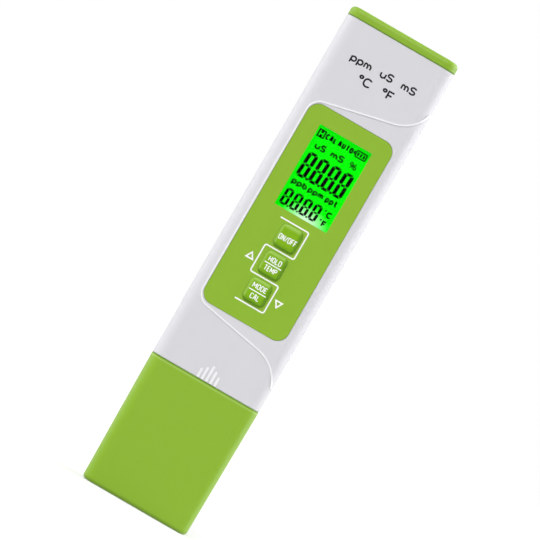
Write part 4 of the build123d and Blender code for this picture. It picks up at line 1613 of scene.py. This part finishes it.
@dataclass
class SensingEnd:
    """Probe housing with its electrodes, temperature sheath, seal and wiring."""

    def build(self) -> None:
        """Dresses the sensing end."""
        dress(PROBE_GREY, "probe_housing")
        dress(SEAL_RUBBER, "cap_seal")
        dress(Graphite("turned_graphite", (0.035, 0.036, 0.04), 0.35), "electrode_left", "electrode_right")
        dress(SHEATH_STEEL, "temperature_sheath")
        dress(CastResin("thermistor_bead", (0.02, 0.02, 0.022), 0.15), "thermistor")
        dress(CastResin("potting_resin", (0.05, 0.04, 0.035), 0.18), "potting_block")
        wires = SidedPlastic("thermistor_wires", (0.62, 0.6, 0.55), 0.45, other=(0.55, 0.42, 0.03))
        dress(wires, "thermistor_leads")
        dress(MouldedPlastic("red_wire", (0.42, 0.015, 0.012), 0.42, clouds=0.08), "electrode_lead_right")
        dress(MouldedPlastic("black_wire", (0.02, 0.02, 0.022), 0.42, clouds=0.1), "electrode_lead_left")


@dataclass
class BatteryDrawer:
    """Drawer with its lid, tray, cells and contacts, and the fixed contacts it meets.

    Attributes:
        back: Y of the tray's back, in millimetres.
        mark_height: Middle height of the polarity marks.
    """

    back: float = 7.15
    mark_height: float = 152.9

    def build(self) -> None:
        """Dresses the drawer and marks its polarity."""
        dress(LID_GREEN, "battery_lid")
        dress(SEAL_RUBBER, "battery_lid_seal")
        dress(MOULDED_BLACK, "battery_tray", "contact_carrier")
        dress(NICKEL, "positive_contact", "negative_contact")
        dress(NICKEL, "contact_spring_left", "contact_spring_right")
        low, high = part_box("cell_1")
        axis = ((low.y + high.y) / 2, (low.z + high.z) / 2)
        can = CellCan("button_cell_can", (0.43, 0.425, 0.41), 0.24, axis=axis, stretch=(30.0, 1.0, 1.0))
        dress(can, "cell_1", "cell_2", "cell_3", "cell_4")
        marks = Print("polarity_marks", self.back, rise=0.05, side=Facing.BACK)
        marks.bar((-9.4, self.mark_height), 2.6, 0.6)
        marks.bar((-9.4, self.mark_height), 0.6, 2.6)
        marks.bar((9.4, self.mark_height), 2.6, 0.6)
        marks.piece(WHITE_INK, "battery_drawer")


@dataclass(frozen=True)
class Lamp:
    """Distant soft lamp.

    Attributes:
        name: Name of the lamp.
        source: Direction that its light comes from.
        share: Its strength over pi.
        spread: Its apparent size, in degrees.
    """

    name: str
    source: tuple[float, float, float]
    share: float
    spread: float

    def hang(self) -> None:
        """Adds the lamp to the scene."""
        light = bpy.data.lights.new(self.name, "SUN")
        light.energy = self.share * math.pi
        light.angle = math.radians(self.spread)
        item = bpy.data.objects.new(self.name, light)
        bpy.context.scene.collection.objects.link(item)
        item.rotation_euler = Vector(self.source).to_track_quat("Z", "Y").to_euler()
        item.location = Vector(self.source)


LAMPS = (
    Lamp("key_lamp", (-0.4, -1.0, 0.95), 0.56, 35.0),
    Lamp("fill_lamp", (0.9, 0.8, 0.8), 0.35, 60.0),
    Lamp("left_lamp", (-1.0, 0.15, 0.3), 0.38, 50.0),
    Lamp("right_lamp", (1.0, 0.15, 0.3), 0.62, 50.0),
)


@dataclass
class Studio:
    """Pale floor, plain soft light and the camera.

    Attributes:
        sky: Strength of the light from all round.
        floor_size: Side of the floor, in metres.
        floor_grey: Brightness of the floor's own colour.
        floor_lift: Light added to the floor where the camera or a reflection sees it.
        aim: Point that the camera looks at, in metres.
        distance: Distance of the camera from the tester's front.
        roll: Roll of the camera in degrees, which leans the tester in the picture.
        lens: Focal length in millimetres.
    """

    sky: float = 0.47
    floor_size: float = 8.0
    floor_grey: float = 0.58
    floor_lift: float = 0.42
    aim: tuple[float, float, float] = (-0.0001, -0.00925, 0.0844)
    distance: float = 1.3875
    roll: float = 30.08
    lens: float = 300.0

    def seen(self, nodes: bpy.types.Nodes, links: bpy.types.NodeLinks) -> Socket:
        """Adds a switch that is 1 for camera, glossy and transmission rays.

        Args:
            nodes: Nodes to add it to.
            links: Links to join it with.

        Returns:
            The switch.
        """
        path = nodes.new("ShaderNodeLightPath")
        result = path.outputs["Is Camera Ray"]
        for name in ("Is Glossy Ray", "Is Transmission Ray"):
            either = nodes.new("ShaderNodeMath")
            either.operation = "MAXIMUM"
            links.new(result, either.inputs[0])
            links.new(path.outputs[name], either.inputs[1])
            result = either.outputs[0]
        return result

    def light_world(self) -> None:
        """Lights the tester softly from all round, before a white background."""
        world = bpy.data.worlds.new("studio")
        bpy.context.scene.world = world
        world.use_nodes = True
        nodes, links = world.node_tree.nodes, world.node_tree.links
        nodes.clear()
        output = nodes.new("ShaderNodeOutputWorld")
        mix = nodes.new("ShaderNodeMixShader")
        links.new(self.seen(nodes, links), mix.inputs["Fac"])
        for place, strength in ((1, self.sky), (2, 1.0)):
            light = nodes.new("ShaderNodeBackground")
            light.inputs["Color"].default_value = (1.0, 1.0, 1.0, 1.0)
            light.inputs["Strength"].default_value = strength
            links.new(light.outputs[0], mix.inputs[place])
        links.new(mix.outputs[0], output.inputs["Surface"])

    def lay_floor(self) -> None:
        """Lays a pale floor that reads white, keeps the tester's shadow and stays under its cap."""
        shape = bmesh.new()
        bmesh.ops.create_grid(shape, x_segments=1, y_segments=1, size=self.floor_size / 2)
        bmesh.ops.translate(shape, verts=shape.verts[:], vec=(0.0, 0.0, -0.00005))
        mesh = bpy.data.meshes.new("floor")
        shape.to_mesh(mesh)
        shape.free()
        floor = bpy.data.objects.new("floor", mesh)
        bpy.context.scene.collection.objects.link(floor)
        recipe = Recipe("floor_white")
        paper = recipe.noise(0.02, 4.0)
        tone = (self.floor_grey,) * 3
        recipe.put("Base Color", recipe.tint(paper, shaded(tone, 0.995), shaded(tone, 1.005)))
        recipe.put("Roughness", 0.9)
        recipe.put("Specular IOR Level", 0.0)
        recipe.put("Emission Color", (1.0, 1.0, 1.0, 1.0))
        lift = recipe.math("MULTIPLY", self.seen(recipe.nodes, recipe.links), self.floor_lift)
        recipe.put("Emission Strength", lift)
        below = recipe.nodes.new("ShaderNodeNewGeometry").outputs["Backfacing"]
        recipe.put("Alpha", recipe.math("SUBTRACT", 1.0, below))
        mesh.materials.append(recipe.material)
        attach(floor, "cap")

    def set_camera(self) -> None:
        """Places the camera square to the front, rolled as in the photograph."""
        camera = bpy.data.objects.new("camera", bpy.data.cameras.new("camera"))
        bpy.context.scene.collection.objects.link(camera)
        camera.data.lens = self.lens
        camera.data.sensor_width = 36.0
        camera.data.clip_start = 0.05
        camera.data.clip_end = 50.0
        camera.data.dof.use_dof = False
        place = Vector(self.aim) - Vector((0.0, self.distance, 0.0))
        turn = Matrix.Rotation(math.radians(90.0), 4, "X")
        roll = Matrix.Rotation(math.radians(self.roll), 4, "Z")
        camera.matrix_world = Matrix.Translation(place) @ turn @ roll
        bpy.context.scene.camera = camera

    def build(self) -> None:
        """Sets up the world, lamps, floor and camera."""
        self.light_world()
        for lamp in LAMPS:
            lamp.hang()
        self.lay_floor()
        self.set_camera()
        bpy.context.scene.view_settings.view_transform = "Standard"


def main() -> None:
    """Builds every sub-assembly in order and reports it."""
    logging.basicConfig(level=logging.INFO, format="%(message)s")
    parts = (
        Housing(),
        Panel(),
        Keys(),
        Display(),
        Electronics(),
        ProtectiveCap(),
        SensingEnd(),
        BatteryDrawer(),
        Studio(),
    )
    for part in parts:
        part.build()
        LOG.info("built %s", type(part).__name__)


if __name__ == "__main__":
    main()
